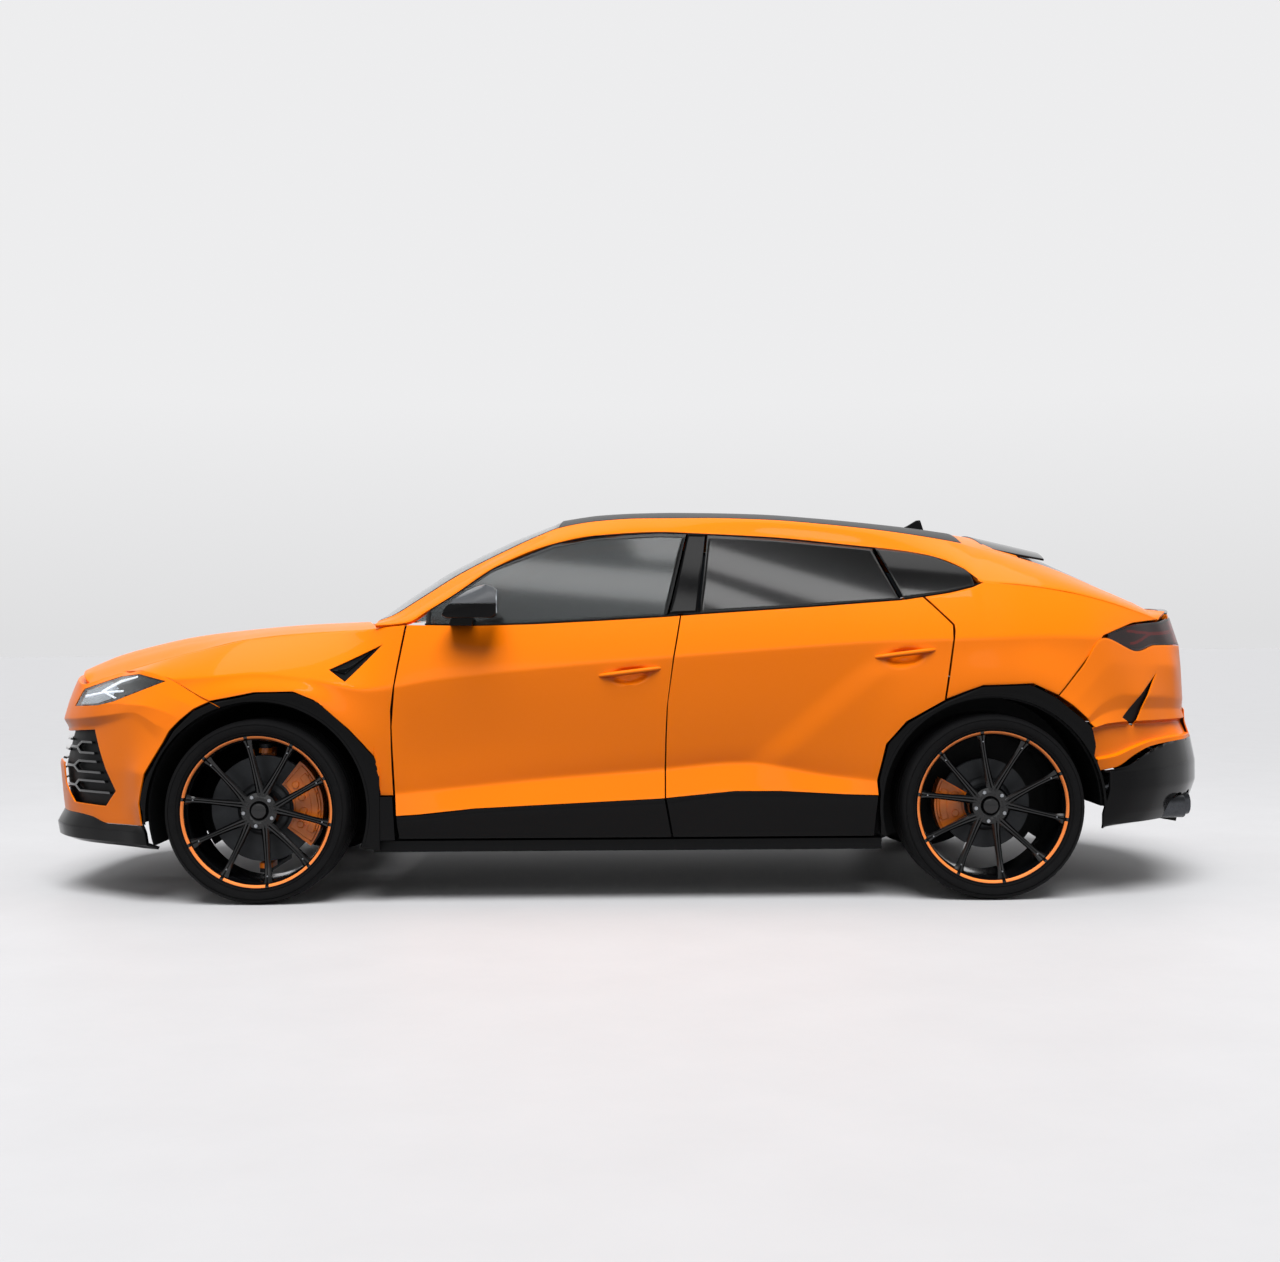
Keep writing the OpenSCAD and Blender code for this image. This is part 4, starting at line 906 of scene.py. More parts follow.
bothSides("quarter_glass", lambda: sideGlass(1139, 1440, 1048, 1436, 6.5, 0.8, 5.4), glassDark,
          replaced="fixed_glass", thick=4)
bothSides("window_front", lambda: sideGlass(-842, 156, -842, 243, 0.5, 7, 2), glassFront, "door_front_*",
          "glass_front_*", thick=4)
bothSides("window_rear", lambda: sideGlass(290, 1126, 335, 1034, 2.8, 7, 2), glassDark, "door_rear_*",
          "glass_rear_*", thick=4)


# Slim black strips along the lower and upper edges of the side windows
def trimStrip(x0, x1, edge, lift, inset, tall, deep):
    def place(u, v):
        x = lerp(x0, x1, u)
        corner = ((0, 0), (0, 1), (1, 1), (1, 0), (0, 0))[round(v * 4)]
        return Vector((x, -(wOf[edge](x) - inset - corner[0] * deep),
                       zOf[edge](x) + lift + corner[1] * tall))
    bm = grid(60, 4, place)
    bmesh.ops.remove_doubles(bm, verts=bm.verts, dist=0.01)
    return capped(bm)


for end, x0, x1 in (("front", -846, 200), ("rear", 222, 1128)):
    bothSides(f"belt_strip_{end}", lambda: trimStrip(x0, x1, "belt", 0.4, 3, 8, 14), glossBlack,
              f"door_{end}_*", bevel=2)
bothSides("top_strip", lambda: trimStrip(-830, 1455, "glassTop", -6.5, -1, 6, 12), glossBlack, bevel=1.5)
bothSides("belt_strip_quarter", lambda: trimStrip(1142, 1462, "belt", 0.4, 3, 8, 14), glossBlack, bevel=2)
print("roof and glass made")


# Bonnet

bonnetMid = smoothLine([(-2462, 936), (-2286, 1010), (-2130, 1052), (-1905, 1098), (-1680, 1124),
                        (-1399, 1146), (-1195, 1154), (-1050, 1160)])
bonnetFront = smoothLine([(0, -2446), (220, -2440), (420, -2412), (530, -2374), (596, -2326)])


def bonnetPoint(s, u):
    a = abs(s)
    x = lerp(bonnetFront(a * 596), lerp(-1195, -1060, a * a), u)
    edge = wOf["belt"](min(x, -1227)) - 24 - max(0, (x + 1227) * 0.19)
    rise = smoothLine([(0, 0.1), (0.3, 0.05), (0.55, 0), (0.8, 0.4), (1, 1)])(a)
    return Vector((x, -s * edge, lerp(bonnetMid(x), zSoft["belt"](x), rise)))


finish("bonnet_skin", grid(90, 90, lambda u, v: bonnetPoint(lerp(1, -1, v), u)), paint, "bonnet",
       ("bonnet",), thick=20, bevel=2)


# Nose: control rows from the bottom lip to the bonnet, and along each from the middle to the wheel arch

noseRows = [
    [(-2530, 0, 352), (-2524, 220, 352), (-2500, 420, 350), (-2440, 560, 348), (-2365, 655, 348),
     (-2275, 735, 340), (-2190, 800, 318), (-2105, 865, 320), (-2030, 925, 322), (-2000, 957, 324)],
    [(-2534, 0, 390), (-2528, 220, 390), (-2505, 420, 388), (-2443, 560, 386), (-2368, 655, 386),
     (-2277, 735, 386), (-2191, 800, 392), (-2105, 865, 400), (-2040, 925, 408), (-2012, 957, 413)],
    [(-2540, 0, 550), (-2534, 220, 550), (-2518, 420, 548), (-2455, 560, 545), (-2385, 650, 545),
     (-2290, 730, 545), (-2190, 805, 545), (-2095, 875, 545), (-2022, 943, 540), (-1986, 968, 535)],
    [(-2505, 0, 697), (-2500, 220, 697), (-2480, 420, 699), (-2433, 540, 704), (-2366, 640, 710),
     (-2265, 730, 718), (-2175, 804, 736), (-2064, 882, 758), (-1950, 950, 690), (-1908, 977, 660)],
    [(-2530, 0, 737), (-2524, 220, 737), (-2502, 420, 738), (-2450, 540, 742), (-2378, 640, 748),
     (-2280, 738, 758), (-2176, 814, 771), (-2054, 889, 784), (-1935, 955, 735), (-1878, 979, 712)],
    [(-2515, 0, 815), (-2508, 220, 815), (-2480, 420, 815), (-2430, 540, 815), (-2362, 640, 815),
     (-2265, 742, 814), (-2160, 815, 818), (-2020, 903, 814), (-1890, 960, 784), (-1832, 983, 758)],
    [(-2490, 0, 880), (-2484, 220, 880), (-2455, 420, 878), (-2410, 540, 874), (-2350, 630, 866),
     (-2215, 728, 890), (-2100, 808, 896), (-1960, 893, 868), (-1845, 950, 835), (-1775, 985, 803)],
    [(-2470, 0, 932), (-2464, 220, 930), (-2436, 420, 918), (-2398, 540, 905), (-2348, 616, 893),
     (-2163, 668, 946), (-2046, 798, 951), (-1904, 880, 918), (-1801, 940, 868), (-1714, 986, 831)],
]
tailRows = [
    [(1912, 957, 521), (1999, 925, 534), (2095, 868, 582), (2175, 820, 612), (2270, 755, 624),
     (2351, 700, 632), (2400, 612, 634), (2424, 556, 634)],
    [(1909, 978, 630), (1985, 935, 640), (2090, 868, 648), (2190, 800, 662), (2280, 740, 668),
     (2345, 690, 670), (2395, 612, 672), (2420, 556, 672)],
    [(1894, 988, 704), (1965, 945, 718), (2060, 885, 722), (2165, 820, 722), (2262, 742, 722),
     (2328, 685, 722), (2376, 615, 722), (2402, 556, 722)],
    [(1862, 993, 738), (1940, 945, 800), (2035, 893, 830), (2150, 830, 822), (2255, 745, 815),
     (2322, 684, 806), (2368, 615, 800), (2394, 556, 796)],
    [(1802, 1000, 792), (1895, 955, 882), (2000, 898, 960), (2140, 808, 945), (2245, 735, 948),
     (2316, 680, 940), (2360, 612, 935), (2388, 556, 930)],
    [(1745, 1003, 831), (1852, 958, 947), (1959, 900, 1064), (2122, 802, 1006), (2222, 722, 1030),
     (2300, 660, 1030), (2352, 600, 1028), (2380, 556, 1025)],
]


# A smooth surface through rows of points; rows bend softly and the step between two rows can stay sharp
def throughRows(rows, soften=0.5):
    count = len(rows[0])
    acrossLines = [[smoothLine([(k, row[k][i]) for k in range(count)]) for i in range(3)] for row in rows]
    found = {}
    marks = list(range(len(rows)))

    def at(u, v):
        key = round(u, 6)
        if key not in found:
            column = [[line(u * (count - 1)) for line in lines] for lines in acrossLines]
            columns = [list(zip(marks, [c[i] for c in column])) for i in range(3)]
            found[key] = [(broken(points), smoothLine(points)) for points in columns]
        t = v * (len(rows) - 1)
        return [lerp(straight(t), curved(t), soften) for straight, curved in found[key]]
    return at


noseAt = throughRows(noseRows, 0.16)
noseTurn = smoothLine([(0, 0), (420, 8), (600, 24), (800, 44), (900, 64), (985, 86)])


def noseSheet(depth=0.0):
    def place(u, v):
        x, w, z = noseAt(u, v)
        a = math.radians(noseTurn(w))
        return Vector((x + depth * math.cos(a), -(w - depth * math.sin(a)), z))
    return grid(96, 84, place)


lampShape = [(-2390, 800), (-2340, 875), (-2250, 903), (-2162, 929), (-2052, 941), (-1918, 912),
             (-2040, 868), (-2157, 827), (-2240, 809)]
intakeHalf = [(0, 400), (440, 400), (452, 552), (470, 566), (556, 556), (562, 470), (640, 392), (795, 388),
              (838, 455), (734, 706), (640, 698), (540, 691), (0, 686)]
noseBase = noseSheet()


def ahead(c):
    return c.x < -1990


def noseBumper(side):
    bm = noseBase.copy()
    cut(bm, lampShape, "y")
    cut(bm, [(-w, z) for w, z in intakeHalf[1:-1]] + [(2, 686), (2, 400)], "x", side=ahead)
    return flipped(bm) if side == "right" else bm


for side in ("left", "right"):
    finish(f"nose_skin_{side}", noseBumper(side), paint, "body", ("front_bumper",), thick=6, bevel=1.6)


# Painted shelf that runs back from the upper edge of the nose, under the bonnet
def noseShelf():
    top = noseRows[-1]
    at = throughRows([top, [(p[0] + 44, p[1] - 8 * (p[1] > 100), p[2] - 27) for p in top]], 0)

    def place(u, v):
        x, w, z = at(u, v)
        return Vector((x, -w, z - 0.5))
    return grid(80, 4, place)


bothSides("nose_shelf", noseShelf, paint, thick=3)

# Intakes: a black sheet behind them, slats in the middle and forked fins at both sides


def intakeBack():
    bm = noseSheet(30)
    bmesh.ops.bisect_plane(bm, geom=list(bm.verts) + list(bm.edges) + list(bm.faces), plane_co=(0, 0, 714),
                           plane_no=(0, 0, 1), clear_outer=True)
    return bm


bothSides("intake_back", intakeBack, satinBlack, replaced="front_grille", thick=4)


def finPart(outline):
    bm = finBase.copy()
    cut(bm, [(-w, z) for w, z in outline], "x", "in", side=ahead)
    return bm


finBase = noseSheet(7)
tier = 0
for z in (628, 548, 466):
    r = 802 - (z - 455) * 0.42
    fork = [(574, z - 5), (638, z - 5), (664, z - 27), (r + 6, z - 27), (r + 3, z - 18), (669, z - 18),
            (648, z), (669, z + 18), (r - 12, z + 18), (r - 16, z + 27), (664, z + 27), (638, z + 5),
            (574, z + 5)]
    tier += 1
    bothSides(f"intake_fin_{tier}", lambda: finPart(fork), finBlack, thick=16, bevel=1.5)
tier = 0
for z in (432, 476, 520, 564, 608, 652):
    w = 436 if z < 570 else 550
    tier += 1
    bothSides(f"intake_slat_{tier}", lambda: finPart([(-1, z), (w, z), (w, z + 9), (-1, z + 9)]), finBlack,
              thick=16, bevel=1)

# Black lip below the nose
lipX = [-1985, -2038, -2116, -2206, -2298, -2396, -2470, -2532, -2553, -2556.5]
lipRows = [[(x + back, p[1], z) for x, p in zip(reversed(lipX), noseRows[0])]
           for z, back in ((226, 56), (243, 8), (292, 0))]
lipRows.append([(p[0], p[1], p[2] - 0.6) for p in noseRows[0]])
lipAt = throughRows(lipRows, 0.15)


def lipSheet():
    return grid(120, 24, overBoth(lipAt))


finish("front_lip", lipSheet(), glossBlack, "body", ("front_grille",), thick=14, bevel=2)

# Headlamps: a dark bowl, a bright forked strip and a clear cover


def lampSheet(depth, outline):
    def make():
        bm = noseSheet(depth)
        cut(bm, outline, "y", "in")
        return bm
    return make


bothSides("headlamp_bowl", lampSheet(17, lampShape), lampDark, replaced="headlamps", thick=3)
reflectorShape = [(-2372, 806), (-2332, 868), (-2250, 894), (-2190, 906), (-2150, 880), (-2180, 836),
                  (-2250, 816)]
coverShape = [(lerp(-2170, x, 0.99), lerp(880, z, 0.99)) for x, z in lampShape]
bothSides("headlamp_reflector", lampSheet(13, reflectorShape), chrome, thick=2)
for k, strip in enumerate(([(-2330, 838), (-2230, 858), (-2120, 866), (-2120, 873), (-2230, 866),
                            (-2330, 848)],
                           [(-2230, 862), (-2140, 905), (-2060, 926), (-2060, 932), (-2150, 913),
                            (-2240, 868)],
                           [(-2230, 862), (-2160, 838), (-2150, 843), (-2225, 868)])):
    bothSides(f"headlamp_strip_{k + 1}", lampSheet(9, strip), lampWhite, thick=3)
bothSides("headlamp_cover", lampSheet(2, coverShape), lampClear, replaced="headlamps", thick=2.5)
print("nose made")

# Black trims round the wheel openings


def archTrim(outer, x, start, end, w0, w1, lip):
    def reach(a):
        best = 453.0
        c, d = math.cos(a), math.sin(a)
        for p, q in zip(outer, outer[1:]):
            ex, ez = q[0] - p[0], q[1] - p[1]
            det = d * ex - c * ez
            if abs(det) > 1e-6:
                px, pz = p[0] - x, p[1] - axleZ
                s = (c * pz - d * px) / det
                if 0 <= s <= 1:
                    best = max(best, (pz * ex - px * ez) / det)
        return best

    def place(u, v):
        a = math.radians(lerp(start, end, u))
        r = lerp(451.5, reach(a), v)
        return Vector((x + r * math.cos(a), -w1 - 2 * math.sin(math.pi * v), axleZ + r * math.sin(a)))
    bm = grid(110, 6, place)
    closeBack(bm, lambda co: Vector((co.x, -w0, co.z)))
    if lip:
        prism(bm, [(-1022, 258), (-1022, 436), (-972, 436), (-962, 258)], -867, -968)
    ringPart(bm, x, axleZ, 451.5, 461, w0 - 10, w1 + 4, max(min(start, end), -16),
             min(max(start, end), 190), 60)
    return bm


trimFront = [(-1023, 206), (-1023, 536), (-1036, 588), (-1146, 709), (-1273, 822), (-1368, 863),
             (-1528, 862), (-1701, 825), (-1780, 791), (-1860, 712), (-1974, 522), (-1994, 460),
             (-1999, 411), (-1975, 340)]
trimRear = [(1020, 262), (1020, 437), (1016, 492), (1054, 640), (1134, 722), (1288, 808), (1435, 868),
            (1637, 874), (1739, 821), (1883, 701), (1898, 628), (1890, 580), (1886, 517), (1926, 400),
            (1929, 378)]
bothSides("arch_trim_front", lambda: archTrim(trimFront, axleF, 184.8, -19.6, 940, 972, True), glossBlack,
          replaced="body_cladding", bevel=4, bevelSteps=3)
bothSides("arch_trim_rear", lambda: archTrim(trimRear, axleR, 0, 194.9, 955, 980, False), glossBlack,
          replaced="body_cladding", bevel=4, bevelSteps=3)

# The tail folds out twice on its way down, so two rows are drawn in beneath each fold
def drawnIn(row, depth, down):
    return [(x - depth * 0.75, w - depth * 0.6, z - down) for x, w, z in row]


foldedTail = [drawnIn(tailRows[0], 2, 0), drawnIn(lerp(tailRows[0], tailRows[1], 0.42), 1, 0),
              drawnIn(lerp(tailRows[0], tailRows[1], 0.5), 19, 0), drawnIn(tailRows[2], 22, 16),
              drawnIn(tailRows[2], 1, 3), drawnIn(lerp(tailRows[2], tailRows[3], 0.45), 8, 0), tailRows[3],
              tailRows[4], tailRows[5]]
tailAt = throughRows(foldedTail, 0.06)


def tailSheet():
    bm = grid(72, 70, onLeft(tailAt))
    cut(bm, [(2216, 916), (2030, 736), (2086, 694)], "y")
    return bm


def tailSlot():
    def place(u, v):
        x, w, z = tailAt(lerp(0.1, 0.8, u), lerp(0.4, 0.95, v))
        return Vector((x - 12, -w + 8, z))
    bm = grid(40, 40, place)
    cut(bm, [(2219, 920), (2025, 736), (2088, 689)], "y", "in")
    return bm


bothSides("tail_slot", tailSlot, satinBlack, thick=4)
bothSides("tail_skin", tailSheet, paint, replaced="rear_bumper", thick=5, bevel=1.6)
tailMid = [
    [(2422, 564, 634), (2472, 400, 634), (2500, 200, 634), (2508, 0, 634)],
    [(2400, 564, 700), (2452, 400, 700), (2482, 200, 700), (2492, 0, 700)],
    [(2398, 564, 752), (2448, 400, 752), (2478, 200, 752), (2486, 0, 752)],
]
tailMidAt = throughRows(tailMid, 0.3)


def tailMiddle():
    return grid(60, 10, overBoth(lambda u, v: tailMidAt(1 - u, v)))


finish("tail_skin_middle", tailMiddle(), paint, "body", ("rear_bumper",), thick=5, bevel=1.6)

# Tail lamps: a smoked cover over a dark bowl with a forked light line

lampLow = [(1975, 890.4, 1060), (2122, 802, 1008), (2222, 722, 1032), (2300, 660, 1032), (2352, 600, 1030),
           (2380, 556, 1027)]
lampHigh = [(1976, 889, 1076), (2114, 800, 1119), (2190, 738, 1125), (2250, 688, 1129), (2318, 600, 1144),
            (2340, 556, 1149)]
lampAt = throughRows([lampLow, lampHigh], 0.3)


def tailLamp(depth, u0, u1, low, high):
    def make():
        def place(u, v):
            x, w, z = lampAt(lerp(u0, u1, u), lerp(lerp(low[0], low[1], u), lerp(high[0], high[1], u), v))
            return Vector((x - depth * 0.8, -w + depth * 0.6, z))
        return grid(60, 10, place)
    return make


bothSides("tail_lamp_bowl", tailLamp(12, 0.02, 1, (0.02, 0.02), (0.98, 0.98)), lampDark,
          replaced="tail_lamps", thick=3)
bothSides("tail_lamp_cover", tailLamp(0, 0, 1, (0, 0), (1, 1)), lampRed, replaced="tail_lamps", thick=2)
for k, (u0, u1, low, high) in enumerate(((0.42, 0.99, (0.44, 0.44), (0.58, 0.58)),
                                         (0.14, 0.42, (0.74, 0.44), (0.84, 0.56)),
                                         (0.16, 0.42, (0.22, 0.46), (0.32, 0.58)))):
    bothSides(f"tail_lamp_line_{k + 1}", tailLamp(5, u0, u1, low, high), lampTail, thick=2)

# Black lower end of the tail with its air guides

planTail = [(0, 2556.5), (200, 2545.5), (400, 2500), (560, 2428), (650, 2372), (750, 2288), (850, 2180),
            (920, 2060), (952, 1960)]
topTail = broken([(700, 631), (820, 610), (868, 580), (925, 532), (957, 519.6)])
lowTail = [[(max(1932 + (952 - w) * 0.3, x + back), w, z) for w, x in planTail]
           for z, back in ((285, -190), (300, -70), (345, -36), (440, 0), (519, 0))]
lowTail.append([(x - 22, w, topTail(w)) for w, x in planTail])
lowTailAt = throughRows(lowTail, 0.2)


def tailBase():
    bm = grid(140, 40, overBoth(lowTailAt))
    for w in (560, 680):
        for s in (-1, 1):
            ring = [(s * w + 58.5 * math.cos(math.tau * k / 28),
                     345 + 58.5 * math.sin(math.tau * k / 28)) for k in range(28)]
            cut(bm, ring, "x", side=lambda c: c.x > 2200)
    return bm


finish("tail_base", tailBase(), glossBlack, "body", ("rear_diffuser",), thick=8, bevel=2)


def airGuides():
    bm = bmesh.new()
    for y in (-380, -230, -80, 80, 230, 380):
        prism(bm, [(2330, 296), (2330, 262), (2420, 246), (2478 - abs(y) * 0.12, 300),
                   (2470 - abs(y) * 0.12, 345)], y - 5, y + 5)
    return bm


finish("air_guides", airGuides(), glossBlack, "body", (), bevel=2)


def pipe(x0, x1, y, z, r):
    bm = bmesh.new()
    profile = [(x0, r - 6), (x1 - 4, r - 6), (x1, r - 3), (x1, r - 1.5), (x1 - 3, r), (x0, r)]
    verts = [bm.verts.new((x, y, z + q)) for x, q in profile]
    edges = [bm.edges.new((verts[i], verts[(i + 1) % 6])) for i in range(6)]
    bmesh.ops.spin(bm, geom=verts + edges, cent=(x0, y, z), axis=(1, 0, 0), angle=math.tau, steps=64)
    bmesh.ops.remove_doubles(bm, verts=bm.verts, dist=0.02)
    bmesh.ops.create_circle(bm, cap_ends=True, segments=64, radius=r - 6,
                            matrix=Matrix.Translation((x0 + 30, y, z))
                            @ Matrix.Rotation(math.pi / 2, 4, "Y"))
    return bm


tipLow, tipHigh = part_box("exhaust_tips")
tipR = (tipHigh[2] - tipLow[2]) / 2 / mm
for k, (w, reach) in enumerate(((560, 2410), (680, 2350))):
    bothSides(f"exhaust_tip_{k + 1}", lambda: pipe(2180, reach, -w, 345, tipR), tipMetal,
              replaced="exhaust_tips")
print("nose and tail made")

# Tailgate

gateTop = [(1446, 1446, 1548, 1470), (1560, 1560, 1530, 1448), (1700, 1690, 1494, 1412)]
gateLow = [(2258, 2200, 1236, 1200), (2330, 2268, 1196, 1166), (2436, 2330, 1186, 1160),
           (2440, 2334, 1172, 1152), (2452, 2346, 1090, 1080), (2474, 2378, 930, 930),
           (2484, 2394, 762, 762)]


def gateSheet(rows, across, up, width=549, lift=0):
    def place(u, v):
        s = lerp(1, -1, u)
        a = s * s
        p = along(rows, v)
        return Vector((lerp(p[0], p[1], a), s * width, lerp(p[2], p[3], a) + lift))
    return grid(across, up, place)


finish("gate_top", gateSheet(gateTop, 60, 12), paint, "tailgate", ("tailgate",), thick=20, bevel=2)
finish("gate_panel", gateSheet(gateLow, 80, 48), paint, "tailgate", ("tailgate",), thick=20, bevel=2)


def gateFrame():
    def place(u, v):
        a, b = lerp((1650, 549, 1423), (2215, 549, 1194), u), lerp((1650, 499, 1432), (2215, 499, 1200), u)
        p = lerp(a, b, v)
        return Vector((p[0], -p[1], p[2]))
    return grid(20, 4, place)


bothSides("gate_frame", gateFrame, paint, "tailgate", "tailgate", thick=12, bevel=2)
gateGlassRows = [(1700.6, 1690.6, 1492, 1412), (1880, 1860, 1424, 1342), (2060, 2030, 1338, 1274),
                 (2256.4, 2198.4, 1236, 1201)]
finish("gate_glass", gateSheet(gateGlassRows, 50, 30, 498, -2), glassDark, "tailgate", ("tailgate_glass",),
       thick=5)
spoilerRows = [(1545, 1545, 1533, 1456), (1700, 1690, 1496, 1425), (1850, 1812, 1458, 1402)]
finish("roof_spoiler", gateSheet(spoilerRows, 60, 14, 505, 6), glossBlack, "tailgate", ("roof_spoiler",),
       thick=8, bevel=2)
tailLipRows = [(2398, 2300, 1194, 1168), (2420, 2318, 1192, 1166), (2442, 2336, 1193, 1167)]
finish("tail_lip", gateSheet(tailLipRows, 60, 6, 535, 1), glossBlack, "tailgate", (), thick=4, bevel=1)
print("tailgate made")

# Wheels: points of a wheel are radius and distance outward from its middle plane

rimR = 311


# Middle of a left wheel and half the width of its tyre
def wheelOf(front):
    return wheelAt["front_left" if front else "rear_left"], (285 if front else 315) / 2


# A short cone or pin that points outward
def stud(bm, spot, segments, low, high, depth):
    bmesh.ops.create_cone(bm, cap_ends=True, segments=segments, radius1=low, radius2=high, depth=depth,
                          matrix=Matrix.Translation(spot) @ Matrix.Rotation(math.pi / 2, 4, "X"))


def spun(bm, profile, centre, steps=96, closed=False):
    verts = [bm.verts.new((centre[0] + r, centre[1] - w, centre[2])) for r, w in profile]
    edges = [bm.edges.new((verts[i], verts[i + 1])) for i in range(len(verts) - 1)]
    if closed:
        edges.append(bm.edges.new((verts[-1], verts[0])))
    bmesh.ops.spin(bm, geom=verts + edges, cent=centre, axis=(0, 1, 0), angle=math.tau, steps=steps)
    bmesh.ops.remove_doubles(bm, verts=bm.verts, dist=0.02)


def tyreRing(front):
    centre, h = wheelOf(front)
    r = 378
    half = h - 22
    crown = [(r - 4, -half)]
    for g in (-0.62, -0.22, 0.22, 0.62):
        c = g * half
        crown += [(r - 0.5, c - 6.5), (r - 8, c - 4.5), (r - 8, c + 4.5), (r - 0.5, c + 6.5)]
    crown.append((r - 4, half))
    profile = [(297, -h + 25.6), (312, -h + 21.6), (322, -h + 12), (330, -h + 5), (340, -h + 1.5),
               (350, -h), (360, -h + 3), (366, -h + 7), (371, -h + 13)] + crown + [
               (371, h - 13), (366, h - 7), (361, h - 3.4), (358, h - 2.2), (357, h - 4.4), (354, h - 4),
               (353, h - 0.6), (346, h),
               (338, h - 1.6), (331, h - 4.2), (328, h - 6.2), (327, h - 9.6), (324, h - 10.4),
               (322, h - 8.4),
               (318, h - 11), (315, h - 17), (312, h - 21.6), (297, h - 25.6)]
    bm = bmesh.new()
    spun(bm, profile, centre, 120, True)
    return bm


def rimPoint(x, y, z, r, angle, w):
    return Vector((x + r * math.cos(angle), y - w, z + r * math.sin(angle)))


# One spoke as a bent bar: height and width change from hub to rim, and its face is ridged
def spoke(bm, centre, h, angle, side):
    x, y, z = centre
    reach = smoothLine([(0, 46), (1, 294)])
    face = smoothLine([(0, h - 60), (0.25, h - 66), (0.6, h - 58), (0.86, h - 42), (1, h - 26)])
    deep = smoothLine([(0, 60), (0.3, 46), (0.7, 38), (1, 44)])
    half = smoothLine([(0, 21), (0.3, 15), (0.7, 12), (0.88, 14), (1, 21)])
    lean = smoothLine([(0, -side * 16), (0.35, -side * 9), (1, 0)])
    crossCut = [(-1, 1.0), (-1, 0.15), (-0.55, 0.0), (-0.16, 0.0), (0, 0.09), (0.16, 0.0), (0.55, 0.0),
                (1, 0.15), (1, 1.0)]
    part = bmesh.new()
    bmesh.ops.create_grid(part, x_segments=26, y_segments=len(crossCut) - 1, size=0.5)
    c, s = math.cos(angle), math.sin(angle)
    for v in part.verts:
        t = v.co.x + 0.5
        across, down = crossCut[round((v.co.y + 0.5) * (len(crossCut) - 1))]
        taper = 0.72 if down > 0.5 else 1
        off = lean(t) + across * half(t) * taper
        r = reach(t)
        w = face(t) - down * deep(t)
        v.co = Vector((x + r * c - off * s, y - w, z + r * s + off * c))
    mesh = bpy.data.meshes.new("part")
    part.to_mesh(mesh)
    part.free()
    bm.from_mesh(mesh)
    bpy.data.meshes.remove(mesh)


def rimShape(front):
    centre, h = wheelOf(front)
    rr = rimR
    bm = bmesh.new()
    profile = [(rr, h - 15), (rr, h - 21), (rr - 12, h - 24), (rr - 14.5, h - 34), (rr - 16, 0),
               (rr - 14.5, -h + 25), (rr, -h + 21), (rr, -h + 15), (rr - 8, -h + 14), (rr - 22, -h + 20),
               (rr - 24, 0), (rr - 23, h - 70), (rr - 20, h - 42), (rr - 14, h - 27), (rr - 8, h - 17),
               (rr - 4, h - 15)]
    spun(bm, profile, centre, 120, True)
    for i in range(5):
        for side in (-1, 1):
            spoke(bm, centre, h, math.radians(8 + 72 * i + 18 * side), side)
    spun(bm, [(33, -20), (86, -20), (84, h - 84), (74, h - 66), (56, h - 60), (42, h - 63), (38, h - 66),
              (33, h - 70), (33, -20)],
         centre, 60)
    spun(bm, [(0.5, h - 55), (26, h - 56), (30, h - 58), (32, h - 62), (33, h - 72)], centre, 48)
    return bm


def wheelNuts(front):
    (x, y, z), h = wheelOf(front)
    bm = bmesh.new()
    for i in range(5):
        a = math.radians(44 + 72 * i)
        stud(bm, (x + 62 * math.cos(a), y - (h - 60), z + 62 * math.sin(a)), 6, 9, 8, 14)
        for t in (-17.5, 17.5):
            b, r = math.radians(8 + 72 * i + t), 268
            stud(bm, (x + r * math.cos(b), y - (h - 38), z + r * math.sin(b)), 12, 3.2, 2.6, 8)
    return bm


def rimStripe(front):
    centre, h = wheelOf(front)
    line = ((298.5, h - 21.4), (301.5, h - 17), (305.5, h - 14.4), (309.5, h - 14.2))
    bm = bmesh.new()
    for i in range(10):
        start, run = math.radians(8 + 36 * i + 18 + 1.4), math.radians(36 - 2.8)
        verts = [bm.verts.new(rimPoint(*centre, r, start, w)) for r, w in line]
        edges = [bm.edges.new((verts[k], verts[k + 1])) for k in range(3)]
        bmesh.ops.spin(bm, geom=verts + edges, cent=centre, axis=(0, -1, 0), angle=run, steps=16)
    return bm


def brakeDisc(front):
    centre, _ = wheelOf(front)
    r = (440 if front else 370) / 2
    bm = bmesh.new()
    spun(bm, [(100, -52), (r, -52), (r, -40), (r - 6, -38), (r - 6, -34), (r, -32), (r, -20), (112, -20),
              (104, -14), (92, -9.5), (34, -9.5)], centre, 96)
    spun(bm, [(100, -52), (34, -48)], centre, 60)
    return bm


# Raised face, pistons and bolts on each brake caliper
def caliperFace(front):
    (x, y, z), _ = wheelOf(front)
    r, a0, a1 = (220, -34, 48) if front else (185, 152, 208)
    bm = bmesh.new()
    ringPart(bm, x, z, r - 84, r + 22, -y + 4, -y + 13, a0, a1, 24)
    ringPart(bm, x, z, r - 18, r + 12, -y + 12, -y + 19, a0 + 8, a1 - 8, 24)
    for k in range(4 if front else 2):
        a = math.radians(lerp(a0 + 12, a1 - 12, k / (3 if front else 1)))
        for q, radius, tall in ((r - 50, 17, 12), (r + 14, 6, 14)):
            stud(bm, (x + q * math.cos(a), y - 13, z + q * math.sin(a)), 24, radius, radius - 2, tall)
    return bm


